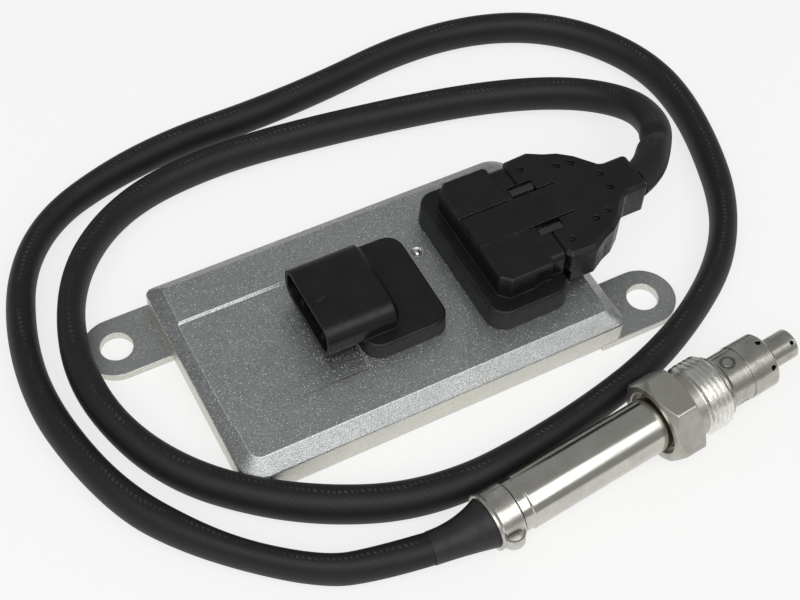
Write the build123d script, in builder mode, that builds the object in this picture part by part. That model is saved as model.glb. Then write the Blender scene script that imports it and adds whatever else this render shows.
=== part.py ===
from build123d import *
import os
from math import atan, cos, degrees, pi, radians, sin, tan

# Nitrogen oxide sensor: a cast control unit with two moulded headers, a sleeved cable and a
# stainless probe with a free-turning M20 hex screw. Millimetres. +Z is up, z = 0 is the surface
# that it rests on, and the origin lies midway between the two fixing holes. X runs along the
# control unit towards the plug, Y across it.

# Housing: cast base with two ears, and a bevelled cover
box_length = 112.3
box_width = 67.8
corner_radius = 7.0
ear_corner_radius = 2.4
plate_thickness = 2.5
plate_inset = 0.8
seam_height = 9.0
top_height = 12.46
bevel_x = 3.95
bevel_y = 4.15
top_corner_radius = 3.0
top_ear_corner_radius = 1.6
wall = 2.4
floor_thickness = 2.0
cover_skin = 1.8
ear_reach = 12.15
ear_hole_x = box_length / 2 + ear_reach
ear_hole_radius = 4.5
ear_radius = 9.35
ear_overhang = 0.1
seal_width = 1.0
seal_height = 0.8
seal_clearance = 0.05

# Recess for a label, open over the left bevel
recess_depth = 0.5
recess_end_x = -13.0
recess_low_y = -18.0
recess_high_y = 17.7

# Pressed-in ball that closes the leak-test hole
ball_x = 15.3
ball_y = 10.6
ball_radius = 1.25
ball_sink = 0.8
ball_rim = 0.4

# Circuit board and what it carries
board_gap_x = 1.75
board_gap_y = 1.7
board_corner = 4.0
board_thickness = 1.6
board_bottom = 4.4
board_hole_inset = 4.0
board_hole_radius = 1.5
post_radius = 2.6
screw_radius = 1.25
screw_fit = 0.05
screw_depth = 2.0
screw_head_radius = 2.3
screw_head_height = 1.3
screw_drive_radius = 1.1
screw_drive_depth = 0.7
processor_inset = 21.0
processor_y = 4.0
processor_size = 16.0
processor_height = 1.6
driver_insets = ((14, 11.8), (28, 11.8), (42, 6.8))
driver_length = 7.5
driver_width = 5.0
driver_height = 1.5
capacitor_inset = 5.0
capacitor_rows = (-6.0, 2.0)
spare_capacitor_place = (16.0, 20.0)
capacitor_radius = 2.4
capacitor_height = 3.0
inductor_x = 15.0
inductor_inset = 8.8
inductor_size = 7.4
inductor_height = 2.8
switch_inset = 12.0
switch_y = 13.0
switch_length = 6.5
switch_width = 6.0
switch_height = 2.3
part_edge = 0.3
pin_hole_radius = 0.65

# Vehicle header: pad, hooded socket and five bent blades
vehicle_pad_x = -0.85
vehicle_pad_y = -0.4
vehicle_pad_length = 24.3
vehicle_pad_width = 33.0
vehicle_pad_top = 17.8
vehicle_pad_corner = 5.0
pad_draft = 0.3
pad_edge = 0.4
hood_mouth_x = -23.0
hood_rear_x = -2.3
hood_y = 0.5
hood_width = 26.6
hood_low = 14.3
hood_height = 11.0
hood_corner = 4.5
hood_wall = 1.2
hood_floor_x = -7.5
hood_rear_edge = 1.2
key_width = 1.6
key_height = 1.3
key_setback = 1.5
key_offset = 6.2
lock_x = -20.8
lock_length = 2.8
lock_width = 3.2
lock_rise = 0.9
neck_margin = 3.0
neck_corner = 3.5
neck_clearance = 0.2
neck_depth = 3.0
gasket_width = 1.2
gasket_height = 0.9
vehicle_pin_count = 5
vehicle_pin_pitch = 3.8
vehicle_pin_size = 0.8
vehicle_pin_tip_x = -15.0
vehicle_pin_bend_x = -4.9
pin_bend_radius = 1.4
pin_tail = 1.0

# Sensor header: pad, socket block with a collar and eight straight pins in two rows
sensor_pad_low_x = 20.5
sensor_pad_length = 24.3
sensor_pad_width = 47.0
sensor_pad_top = 19.6
sensor_pad_corner = 5.5
block_low_x = 24.7
block_high_x = 40.3
block_width = 37.8
block_top = 27.1
block_facet = 2.5
block_edge = 0.5
block_corner = 1.4
collar_end_x = 44.5
collar_width = 34.6
collar_drop = 0.3
collar_edge = 1.8
socket_floor_x = 28.2
socket_width = 29.6
socket_low = 16.6
socket_top = 24.6
socket_exit_x = 46.2
tongue_width = 10.6
tongue_groove = 0.25
tongue_thickness = 1.2
tongue_start_x = 24.9
tongue_gap = 0.2
sensor_pin_columns = 4
sensor_pin_pitch = 6.2
sensor_pin_rows = (19.1, 22.1)
sensor_pin_size = 0.8
sensor_pin_tip_x = 37.0
sensor_pin_bend_x = (27.5, 25.7)
scoop_x = 38.4
scoop_radius = 9.0
scoop_depth = 0.8
scoop_top = 25.4

# Plug: upper cover, lower shell, contact carrier, grommet and wires
plug_top = 26.9
plug_bottom = 15.0
plug_parting = 21.4
plug_gap = 0.15
plug_front_x = 44.7
plug_wing = 19.0
plug_wing_end_x = 53.5
plug_wing_rise = 0.4
plug_front_corner = 2.6
plug_front_bevel = 1.2
plug_slope_points = ((57.7, 16.6), (61.3, 15.2), (65.0, 12.3))
plug_flare_x = 69.6
plug_neck_flare = 0.5
plug_neck_width = 12.6
plug_neck_start_x = 71.0
plug_corner = 1.2
plug_neck_end_x = 78.0
plug_skin = 1.5
plug_edge = 1.1
plug_hole_radius = 1.0
plug_hole_depth = 1.0
plug_hole_places = ((48.5, 13.7), (58.2, 10.4), (62.4, 9.6), (67.6, 2.7))
pad_clear_x = 46.3
window_low_y = 5.5
window_high_y = 9.4
window_low_x = 41.5
window_high_x = 49.2
window_depth = 1.9
rail_y = 8.3
rail_width = 1.3
rail_drop = 0.4
rail_start_gap = 0.25
slit_end_x = 54.7
carrier_clearance = 0.3
carrier_front_x = 29.5
carrier_back_x = 49.0
flange_start_x = 46.4
flange_half_width = 15.6
contact_radius = 1.15
contact_bore = 0.65
contact_start_x = 31.5
contact_bore_end_x = 40.0
contact_fit = 0.05
plug_seal_start_x = 40.0
plug_seal_length = 2.4
plug_seal_thickness = 0.9
grommet_length = 8.0
wire_gap = 0.4
grommet_radius = 5.0
cable_height = 20.9
wire_radius = 0.8
wire_circle = 2.7

# Cable: a round sleeve along the floor, over the left ear's tip and round to the probe
cable_diameter = 8.4
cable_run_share = 0.45
cable_last_run = 16.0
cable_points = [
    (plug_neck_end_x, 0, cable_height),
    (84.8, 0, cable_height),
    (92, 8, 19.4),
    (99.5, 19, 15.9),
    (101, 34, 10.8),
    (87.5, 48.5, 7.2),
    (62, 59.5, 5.2),
    (24, 66.5, 4.4),
    (-18.5, 73, 4.4),
    (-51, 67, 5.4),
    (-ear_hole_x - 5.7, 44.5, 9.9),
    (-ear_hole_x - 14.2, 12, 9.9),
    (-ear_hole_x - 7.2, -22, 5.6),
    (-51, -47.5, 4.4),
    (-17, -56.7, 4.4),
    (25, -52, 4.4),
    (ear_hole_x + 3.7, -42.4, 4.4),
    (ear_hole_x + 37.7, -20, 4.4),
    (ear_hole_x + 53.2, 22, 4.4),
    (ear_hole_x + 55.7, 56.5, 4.4),
    (96, 79, 4.4),
    (61, 90, 4.4),
    (10, 84.5, 4.4),
    (-38, 84.5, 4.4),
    (-ear_hole_x - 10.7, 68, 4.4),
    (-ear_hole_x - 28.7, 27, 4.4),
    (-ear_hole_x - 30.2, -23, 4.4),
    (-65, -58, 4.4),
]

# Probe: axis through the hexagon's middle, lying on a flat of the hexagon with its front up
probe_x = 48.0
probe_y = -64.3
probe_azimuth = 4.75
probe_tilt = 3.4
hex_wall = 3.34
floor_clearance = 0.03
hex_rear = -4.5
hex_front = 4.0
hex_rear_full = -2.6
hex_front_full = 2.8
hex_face_edge = 0.4
hex_corner_margin = 0.1
screw_neck_end = 7.0
screw_neck_step = 1.0
screw_wall = 2.34
thread_end = 14.7
thread_lead = 0.9
running_gap = 0.3
rear_bore_step = 1.04
rear_bore_depth = 2.0
barrel_radius = 7.36
barrel_skin = 0.7
barrel_front = -2.0
barrel_step = -46.0
barrel_rear = -48.5
barrel_tail = -57.0
barrel_tail_step = 1.76
barrel_groove_depth = 0.41
collar_start = 15.0
collar_stop = 17.0
collar_step = 1.24
body_front = 23.5
body_step = 0.04
body_spigot_rear = -9.0
body_wall = 2.16
body_lip_radius = 3.2
spigot_length = 2.5
shield_step = 0.24
shield_skin = 0.5
shield_front = 31.5
shield_hole_place = 29.8
shield_hole_radius = 0.75
shield_hole_count = 6
tip_radius = 4.1
tip_skin = 0.45
tip_end = 41.0
tip_hole_place = 39.5
tip_hole_radius = 0.6
tip_hole_angle = 118.0
tip_hole_count = 3
shield_hole_angle = 80.0
tip_flange = 0.6
fit = 0.05
element_width = 4.2
element_thickness = 1.9
element_rear = -34.0
element_front = 37.5
element_clearance = 0.1
insulator_length = 6.0
talc_length = 5.5
ring_length = 1.5
ring_bore = 3.2
probe_wire_count = 6
probe_wire_radius = 0.7
probe_wire_cover = 1.2
probe_wire_rear = -56.5
probe_wire_front = -38.0
holder_rear = -40.0
holder_front = -27.0
clamp_rear = -56.0
clamp_front = -48.9
clamp_step = 0.04
clamp_skin = 0.6
clamp_rim = 0.35
clamp_rim_width = 0.7
clamp_ear_angle = 176.0
clamp_ear_inset = 0.5
clamp_ear_foot = 0.9
clamp_ear_width = 3.4
clamp_ear_rise = 2.3
boot_rear = -72.0
boot_rear_wall = 0.4
boot_middle = -64.0
boot_middle_wall = 0.75
boot_flare = 0.35
boot_end_gap = 0.1
boot_seat_depth = 0.8
weld_places = ((19.5, 82.0), (20.2, 198.0))
weld_radius = 1.7
weld_width = 0.35
weld_depth = 0.15

# Worked out from the sizes above
plate_length = box_length - 2 * plate_inset
plate_width = box_width - 2 * plate_inset
plate_corner_radius = corner_radius - plate_inset
plate_ear_corner_radius = ear_corner_radius - plate_inset
top_length = box_length - 2 * bevel_x
top_width = box_width - 2 * bevel_y
ear_hole_y = box_width / 2 + ear_overhang - ear_radius
vehicle_pad_place = (vehicle_pad_x, vehicle_pad_y)
vehicle_pad_size = (vehicle_pad_length, vehicle_pad_width)
sensor_pad_place = (sensor_pad_low_x + sensor_pad_length / 2, 0)
sensor_pad_size = (sensor_pad_length, sensor_pad_width)
vehicle_neck = (vehicle_pad_length - 2 * neck_margin, vehicle_pad_width - 2 * neck_margin)
sensor_neck = (sensor_pad_length - 2 * neck_margin, sensor_pad_width - 2 * neck_margin)
window_y = (window_low_y + window_high_y) / 2
window_width = window_high_y - window_low_y
rail_start_x = window_low_x + rail_start_gap
slit_y = tongue_width / 2 + tongue_groove
cavity_length = box_length - 2 * wall
cavity_width = box_width - 2 * wall
board_length = cavity_length - 2 * board_gap_x
board_width = cavity_width - 2 * board_gap_y
board_hole_x = board_length - 2 * board_hole_inset
board_hole_y = board_width - 2 * board_hole_inset
board_end_x = -board_length / 2
board_edge_y = -board_width / 2
board_top = board_bottom + board_thickness
processor_place = (board_end_x + processor_inset, processor_y)
driver_places = [(board_end_x + along, board_edge_y + across) for along, across in driver_insets]
capacitor_places = [(board_end_x + capacitor_inset, row_y) for row_y in capacitor_rows]
capacitor_places.append(spare_capacitor_place)
inductor_place = (inductor_x, board_edge_y + inductor_inset)
switch_places = [(-board_end_x - switch_inset, side * switch_y) for side in (-1, 1)]
hood_middle = hood_low + hood_height / 2
cable_radius = cable_diameter / 2
screw_bore_radius = barrel_radius + running_gap
rear_bore_radius = screw_bore_radius + rear_bore_step
thread_radius = screw_bore_radius + screw_wall
screw_neck_radius = thread_radius - screw_neck_step
hex_across_flats = 2 * (screw_bore_radius + hex_wall)
barrel_tail_radius = barrel_radius - barrel_tail_step
barrel_groove_radius = barrel_radius - barrel_groove_depth
collar_radius = barrel_radius + collar_step
body_radius = barrel_radius + body_step
body_bore_radius = barrel_radius - body_wall
shield_radius = barrel_radius + shield_step
clamp_radius = barrel_radius + clamp_step
probe_wire_circle = barrel_tail_radius - barrel_skin - probe_wire_radius - probe_wire_cover
boot_rear_radius = cable_radius + boot_rear_wall
boot_middle_radius = cable_radius + boot_middle_wall
boot_bore_radius = cable_radius - boot_seat_depth
hex_corner_radius = hex_across_flats / 2 / cos(radians(30))
hex_face_radius = hex_across_flats / 2 - hex_face_edge
hex_rear_slope = (hex_rear_full - hex_rear) / (hex_corner_radius + hex_corner_margin - hex_face_radius)
flat_rear = hex_rear + hex_rear_slope * hex_face_edge
probe_height = (
    hex_across_flats / 2 * cos(radians(probe_tilt))
    - flat_rear * sin(radians(probe_tilt))
    + floor_clearance
)
probe_point = Vector(probe_x, probe_y, probe_height)
probe_forward = Vector(
    cos(radians(probe_azimuth)) * cos(radians(probe_tilt)),
    sin(radians(probe_azimuth)) * cos(radians(probe_tilt)),
    sin(radians(probe_tilt)),
)
probe_side = Vector(-sin(radians(probe_azimuth)), cos(radians(probe_azimuth)), 0)
probe_up = probe_forward.cross(probe_side)
probe_axis = Axis(probe_point, probe_forward)
probe_section = Plane(origin=probe_point, x_dir=probe_forward, z_dir=probe_up)


def across_probe(station):
    """Plane square to the probe at a station along it, with local X level."""
    return Plane(
        origin=probe_point + probe_forward * station, x_dir=probe_side, z_dir=probe_forward
    )


def radial_plane(station, angle):
    """Plane on the probe's axis whose normal points out at an angle from level."""
    outward = probe_side * cos(radians(angle)) + probe_up * sin(radians(angle))
    return Plane(
        origin=probe_point + probe_forward * station, x_dir=probe_forward, z_dir=outward
    )


def seal_ring(clearance):
    """Ring in the middle of the housing's wall, below the seam."""
    middle_length = box_length - wall
    middle_width = box_width - wall
    half = seal_width / 2 - clearance
    with BuildPart() as ring:
        with BuildSketch(Plane.XY.offset(seam_height)):
            RectangleRounded(
                middle_length + 2 * half, middle_width + 2 * half, corner_radius - wall / 2 + half
            )
            RectangleRounded(
                middle_length - 2 * half,
                middle_width - 2 * half,
                corner_radius - wall / 2 - half,
                mode=Mode.SUBTRACT,
            )
        extrude(amount=-seal_height)
    return ring.part


def gasket_ring(place, neck, clearance):
    """Flat ring round a header's neck, standing on the cover."""
    with BuildPart() as ring:
        with BuildSketch(Plane.XY.offset(top_height)):
            with Locations(place):
                RectangleRounded(
                    neck[0] + 2 * gasket_width - 2 * clearance,
                    neck[1] + 2 * gasket_width - 2 * clearance,
                    neck_corner + gasket_width - clearance,
                )
                RectangleRounded(
                    neck[0] + 2 * clearance,
                    neck[1] + 2 * clearance,
                    neck_corner + clearance,
                    mode=Mode.SUBTRACT,
                )
        extrude(amount=gasket_height)
    return ring.part


def header_pad(place, size, top, corner):
    """Drafted pad on the cover, grooved for its gasket, with a neck through the cover."""
    neck = (size[0] - 2 * neck_margin, size[1] - 2 * neck_margin)
    with BuildPart() as pad:
        with BuildSketch(Plane.XY.offset(top_height)):
            with Locations(place):
                RectangleRounded(size[0], size[1], corner)
        extrude(amount=top - top_height, taper=degrees(atan(pad_draft / (top - top_height))))
        chamfer(pad.faces().sort_by(Axis.Z)[-1].edges(), length=pad_edge)
        add(gasket_ring(place, neck, 0), mode=Mode.SUBTRACT)
        with BuildSketch(Plane.XY.offset(top_height)):
            with Locations(place):
                RectangleRounded(
                    neck[0] - 2 * neck_clearance,
                    neck[1] - 2 * neck_clearance,
                    neck_corner - neck_clearance,
                )
        extrude(amount=-neck_depth)
    return pad.part


def bent_pin(tip_x, bend_x, pin_y, row_z, size):
    """Square pin that runs along X and bends down through the circuit board."""
    with BuildPart() as pin:
        with BuildLine():
            FilletPolyline(
                (tip_x, pin_y, row_z),
                (bend_x, pin_y, row_z),
                (bend_x, pin_y, board_bottom - pin_tail),
                radius=pin_bend_radius,
            )
        with BuildSketch(Plane(origin=(tip_x, pin_y, row_z), z_dir=(bend_x - tip_x, 0, 0))):
            Rectangle(size, size)
        sweep()
    return pin.part


def plug_outline(corner):
    """Plan of the plug: two wings that run down in steps to a narrow neck."""
    with BuildSketch() as outline:
        with BuildLine():
            Polyline(
                (plug_front_x, 0),
                (plug_front_x, plug_wing - plug_front_corner),
                (plug_front_x + plug_front_bevel, plug_wing - plug_wing_rise),
                (plug_wing_end_x, plug_wing),
                *plug_slope_points,
                (plug_flare_x, plug_neck_width / 2 + plug_neck_flare),
                (plug_neck_start_x, plug_neck_width / 2),
                (plug_neck_end_x, plug_neck_width / 2),
                (plug_neck_end_x, 0),
            )
            mirror(about=Plane.XZ)
        make_face()
        if corner > 0:
            fillet(outline.vertices(), radius=corner)
    return outline.sketch


def plug_cavity():
    """Plan of the hollow inside the plug, behind its front wall and ahead of the grommet."""
    low_x = plug_front_x + plug_skin
    high_x = plug_neck_end_x - grommet_length
    with BuildSketch() as cavity:
        add(plug_outline(0))
        offset(amount=-plug_skin, kind=Kind.INTERSECTION, mode=Mode.REPLACE)
        with Locations(((low_x + high_x) / 2, 0)):
            Rectangle(high_x - low_x, 2 * plug_wing, mode=Mode.INTERSECT)
    return cavity.sketch


def plug_passages():
    """What both halves of the plug leave free: the carrier's nose and the grommet's bore."""
    with BuildPart() as passages:
        with BuildSketch(across_plug(plug_front_x, socket_middle)):
            Rectangle(socket_width - carrier_clearance, socket_top - socket_low)
        extrude(amount=2 * plug_skin)
        with BuildSketch(across_plug(plug_neck_end_x - grommet_length, cable_height)):
            Circle(grommet_radius)
        extrude(amount=grommet_length)
    return passages.part


def along_hood(place_x, height, direction):
    """Plane square to X on the hood's middle, facing +X or -X."""
    return Plane(origin=(place_x, hood_y, height), x_dir=(0, 1, 0), z_dir=(direction, 0, 0))


def across_plug(place_x, height):
    """Plane square to X with its local X along Y."""
    return Plane(origin=(place_x, 0, height), x_dir=(0, 1, 0), z_dir=(1, 0, 0))


def board_part(places, length, width, height):
    """Moulded components of one kind, standing on the circuit board."""
    with BuildPart() as components:
        with BuildSketch(Plane.XY.offset(board_top)):
            with Locations(*places):
                Rectangle(length, width)
        extrude(amount=height)
        chamfer(components.faces().filter_by(Axis.Z).group_by(Axis.Z)[-1].edges(), length=part_edge)
    return components


def turned(profile):
    """Piece turned about the probe's axis from (station, radius) points."""
    with BuildPart() as piece:
        with BuildSketch(probe_section):
            with BuildLine():
                Polyline(*profile, close=True)
            make_face()
        revolve(axis=probe_axis)
    return piece


def element_slot(rear, front, clearance):
    """Flat bar along the probe's axis, the sensing element's shape or its slot."""
    with BuildPart() as bar:
        with BuildSketch(across_probe(rear)):
            Rectangle(element_width + 2 * clearance, element_thickness + 2 * clearance)
        extrude(amount=front - rear)
    return bar.part


def route_radii(points):
    """Radius at each corner of a route: as large as its two runs allow."""
    corners = [Vector(*point) for point in points]
    radii = []
    for before, here, after in zip(corners, corners[1:], corners[2:]):
        run_in = here - before
        run_out = after - here
        shorter = min(run_in.length, run_out.length)
        half_turn = radians(run_in.get_angle(run_out)) / 2
        radii.append(cable_run_share * shorter / tan(half_turn))
    return radii


def box_outline(length, width, free_corner, ear_corner):
    """Rectangle of the box, its two corners by the ears tighter than the others."""
    with BuildSketch() as outline:
        Rectangle(length, width)
        fillet(outline.vertices().filter_by(lambda corner: corner.X * corner.Y < 0), radius=ear_corner)
        fillet(outline.vertices().filter_by(lambda corner: corner.X * corner.Y > 0), radius=free_corner)
    return outline.sketch


# Housing base: plate with two ears, inset under a vertical wall
with BuildPart() as housing_base:
    with BuildSketch():
        add(box_outline(plate_length, plate_width, plate_corner_radius, plate_ear_corner_radius))
        for side in (-1, 1):
            with Locations((side * ear_hole_x, -side * ear_hole_y)):
                Circle(ear_radius)
            with Locations((side * (ear_hole_x - ear_radius), -side * ear_hole_y)):
                Rectangle(2 * ear_radius, 2 * ear_radius)
    extrude(amount=plate_thickness)
    with BuildSketch(Plane.XY.offset(plate_thickness)):
        add(box_outline(box_length, box_width, corner_radius, ear_corner_radius))
    extrude(amount=seam_height - plate_thickness)
    with BuildSketch(Plane.XY.offset(floor_thickness)):
        RectangleRounded(cavity_length, cavity_width, corner_radius - wall)
    extrude(amount=seam_height - floor_thickness, mode=Mode.SUBTRACT)
    with BuildSketch(Plane.XY.offset(floor_thickness)):
        with GridLocations(board_hole_x, board_hole_y, 2, 2):
            Circle(post_radius)
    extrude(amount=board_bottom - floor_thickness)
    with BuildSketch(Plane.XY.offset(board_bottom)):
        with GridLocations(board_hole_x, board_hole_y, 2, 2):
            Circle(screw_radius + screw_fit)
    extrude(amount=-screw_depth - screw_fit, mode=Mode.SUBTRACT)
    with BuildSketch():
        for side in (-1, 1):
            with Locations((side * ear_hole_x, -side * ear_hole_y)):
                Circle(ear_hole_radius)
    extrude(amount=plate_thickness, mode=Mode.SUBTRACT)
    add(seal_ring(0), mode=Mode.SUBTRACT)

# Cover seal: a bead in the wall's groove
with BuildPart() as cover_seal:
    add(seal_ring(seal_clearance))

# Housing cover: bevelled tray with the label recess, header openings and the leak-test hole
with BuildPart() as housing_cover:
    with BuildSketch(Plane.XY.offset(seam_height)):
        add(box_outline(box_length, box_width, corner_radius, ear_corner_radius))
    with BuildSketch(Plane.XY.offset(top_height)):
        add(box_outline(top_length, top_width, top_corner_radius, top_ear_corner_radius))
    loft(ruled=True)
    with BuildSketch(Plane.XY.offset(seam_height)):
        RectangleRounded(cavity_length, cavity_width, corner_radius - wall)
    with BuildSketch(Plane.XY.offset(top_height - cover_skin)):
        RectangleRounded(top_length - wall, top_width - wall, top_corner_radius)
    loft(ruled=True, mode=Mode.SUBTRACT)
    with BuildSketch(Plane.XY.offset(top_height)):
        with Locations(
            ((recess_end_x - box_length / 2) / 2, (recess_low_y + recess_high_y) / 2)
        ):
            Rectangle(recess_end_x + box_length / 2, recess_high_y - recess_low_y)
    extrude(amount=-recess_depth, taper=45, mode=Mode.SUBTRACT)
    with BuildSketch(Plane.XY.offset(top_height)):
        for place, neck in ((vehicle_pad_place, vehicle_neck), (sensor_pad_place, sensor_neck)):
            with Locations(place):
                RectangleRounded(neck[0], neck[1], neck_corner)
        with Locations((ball_x, ball_y)):
            Circle(ball_radius)
    extrude(amount=-cover_skin, mode=Mode.SUBTRACT)
    ball_mouth = housing_cover.edges().filter_by(GeomType.CIRCLE).filter_by(
        lambda edge: abs(edge.radius - ball_radius) < 0.01
    )
    chamfer(ball_mouth.sort_by(Axis.Z)[-1], length=ball_rim)

# Sealing ball
with BuildPart() as sealing_ball:
    with Locations((ball_x, ball_y, top_height - ball_sink)):
        Sphere(ball_radius)

# Vehicle header blades, bent down to the board
vehicle_pin_places = [
    hood_y + (number - (vehicle_pin_count - 1) / 2) * vehicle_pin_pitch
    for number in range(vehicle_pin_count)
]
with BuildPart() as vehicle_header_pins:
    for pin_y in vehicle_pin_places:
        add(bent_pin(vehicle_pin_tip_x, vehicle_pin_bend_x, pin_y, hood_middle, vehicle_pin_size))

# Sensor header pins: two rows, the upper one bent down behind the lower
sensor_pin_places = [
    (number - (sensor_pin_columns - 1) / 2) * sensor_pin_pitch
    for number in range(sensor_pin_columns)
]
with BuildPart() as sensor_header_pins:
    for bend_x, row_z in zip(sensor_pin_bend_x, sensor_pin_rows):
        for pin_y in sensor_pin_places:
            add(bent_pin(sensor_pin_tip_x, bend_x, pin_y, row_z, sensor_pin_size))

# Hood of the vehicle socket: rounded block along X with softened rear edges
with BuildPart() as hood:
    with BuildSketch(along_hood(hood_rear_x, hood_middle, -1)):
        RectangleRounded(hood_width, hood_height, hood_corner)
    extrude(amount=hood_rear_x - hood_mouth_x)
    chamfer(hood.faces().sort_by(Axis.X)[-1].edges(), length=hood_rear_edge)

# Vehicle header: drafted pad and neck, hooded socket with two keys and a lock wedge
with BuildPart() as vehicle_header:
    add(header_pad(vehicle_pad_place, vehicle_pad_size, vehicle_pad_top, vehicle_pad_corner))
    add(hood.part)
    with BuildSketch(along_hood(hood_mouth_x, hood_middle, 1)):
        RectangleRounded(
            hood_width - 2 * hood_wall, hood_height - 2 * hood_wall, hood_corner - hood_wall
        )
    extrude(amount=hood_floor_x - hood_mouth_x, mode=Mode.SUBTRACT)
    with BuildSketch(along_hood(hood_floor_x, hood_low + hood_wall, -1)):
        with GridLocations(2 * key_offset, 0, 2, 1):
            Rectangle(key_width, 2 * key_height)
    extrude(amount=hood_floor_x - hood_mouth_x - key_setback, mode=Mode.ADD)
    with BuildSketch(Plane.XZ.offset(-hood_y - lock_width / 2)):
        with Locations((lock_x, hood_low + hood_height)):
            Polygon(
                (0, -pad_edge), (0, 0), (lock_length, lock_rise), (lock_length, -pad_edge), align=None
            )
    extrude(amount=lock_width)
    add(vehicle_header_pins.part, mode=Mode.SUBTRACT)

# Gaskets of the two headers, in the pads' grooves round the necks
with BuildPart() as vehicle_header_seal:
    add(gasket_ring(vehicle_pad_place, vehicle_neck, seal_clearance))
with BuildPart() as sensor_header_seal:
    add(gasket_ring(sensor_pad_place, sensor_neck, seal_clearance))

# Sensor header: pad, faceted socket block, collar, a channel for the plug's tongue
socket_middle = (socket_low + socket_top) / 2
channel_floor = plug_top - tongue_thickness - tongue_groove
with BuildPart() as sensor_header:
    add(header_pad(sensor_pad_place, sensor_pad_size, sensor_pad_top, sensor_pad_corner))
    with BuildSketch(Plane.XY.offset(plug_bottom)) as block_outline:
        with Locations(((block_low_x + block_high_x) / 2, 0)):
            Rectangle(block_high_x - block_low_x, block_width)
        chamfer(block_outline.vertices().group_by(Axis.X)[0], length=block_facet)
        fillet(block_outline.vertices().group_by(Axis.X)[-1], radius=block_corner)
    extrude(amount=block_top - plug_bottom)
    chamfer(sensor_header.faces().sort_by(Axis.Z)[-1].edges(), length=block_edge)
    collar_top = block_top - collar_drop
    with BuildSketch(across_plug(block_high_x, (plug_bottom + collar_top) / 2)) as collar:
        Rectangle(collar_width, collar_top - plug_bottom)
        fillet(collar.vertices().group_by(Axis.Z)[-1], radius=collar_edge)
    extrude(amount=collar_end_x - block_high_x)
    with BuildSketch(Plane.XY.offset(channel_floor)):
        with Locations(((tongue_start_x + collar_end_x) / 2, 0)):
            Rectangle(collar_end_x - tongue_start_x, tongue_width + 2 * tongue_groove)
    extrude(amount=block_top - channel_floor, mode=Mode.SUBTRACT)
    with BuildSketch(across_plug(socket_floor_x, socket_middle)):
        Rectangle(socket_width, socket_top - socket_low)
    extrude(amount=socket_exit_x - socket_floor_x, mode=Mode.SUBTRACT)
    with BuildSketch(Plane.XY.offset(collar_top)):
        for side in (-1, 1):
            with Locations(((window_low_x + collar_end_x) / 2, side * window_y)):
                Rectangle(collar_end_x - window_low_x, window_width)
    extrude(amount=-window_depth, mode=Mode.SUBTRACT)
    scoop_y = block_width / 2 + scoop_radius - scoop_depth
    with BuildSketch(Plane.XY.offset(sensor_pad_top)):
        with Locations((scoop_x, -scoop_y), (scoop_x, scoop_y)):
            Circle(scoop_radius)
    extrude(amount=scoop_top - sensor_pad_top, mode=Mode.SUBTRACT)
    add(sensor_header_pins.part, mode=Mode.SUBTRACT)

# Contact places as (Y, Z), and the turn at which each one's wire enters the grommet
contact_places = [(pin_y, row_z) for row_z in sensor_pin_rows for pin_y in sensor_pin_places]
turn_step = 360 / len(contact_places)
lower_turns = [180 + (number + 0.5) * turn_step for number in range(sensor_pin_columns)]
upper_turns = [180 - (number + 0.5) * turn_step for number in range(sensor_pin_columns)]
wire_turns = lower_turns + upper_turns

# Contact carrier: nose in the header's socket, flange held by the plug's two shells
nose_width = socket_width - 2 * carrier_clearance
nose_height = socket_top - socket_low - 2 * carrier_clearance
seal_seat = (nose_width - 2 * plug_seal_thickness, nose_height - 2 * plug_seal_thickness)
with BuildPart() as contact_carrier:
    with BuildSketch(across_plug(carrier_front_x, socket_middle)):
        Rectangle(nose_width, nose_height)
    extrude(amount=carrier_back_x - carrier_front_x)
    with BuildSketch(across_plug(flange_start_x, socket_middle)):
        Rectangle(2 * flange_half_width, nose_height)
    extrude(amount=carrier_back_x - flange_start_x)
    with BuildSketch(across_plug(plug_seal_start_x, socket_middle)):
        Rectangle(nose_width, nose_height)
        Rectangle(*seal_seat, mode=Mode.SUBTRACT)
    extrude(amount=plug_seal_length, mode=Mode.SUBTRACT)
    with BuildSketch(across_plug(carrier_front_x, 0)):
        with Locations(*contact_places):
            Circle(contact_radius + contact_fit)
    extrude(amount=carrier_back_x - carrier_front_x, mode=Mode.SUBTRACT)

# Plug seal: a rubber ring round the nose
with BuildPart() as plug_seal:
    with BuildSketch(across_plug(plug_seal_start_x, socket_middle)):
        Rectangle(
            socket_width - 2 * seal_clearance, socket_top - socket_low - 2 * seal_clearance
        )
        Rectangle(
            seal_seat[0] + 2 * seal_clearance, seal_seat[1] + 2 * seal_clearance, mode=Mode.SUBTRACT
        )
    extrude(amount=plug_seal_length)

# Plug contacts: tubes that take the header's pins
with BuildPart() as plug_contacts:
    with BuildSketch(across_plug(contact_start_x, 0)):
        with Locations(*contact_places):
            Circle(contact_radius)
    extrude(amount=carrier_back_x - contact_start_x)
    with BuildSketch(across_plug(contact_start_x, 0)):
        with Locations(*contact_places):
            Circle(contact_bore)
    extrude(amount=contact_bore_end_x - contact_start_x, mode=Mode.SUBTRACT)

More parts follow.
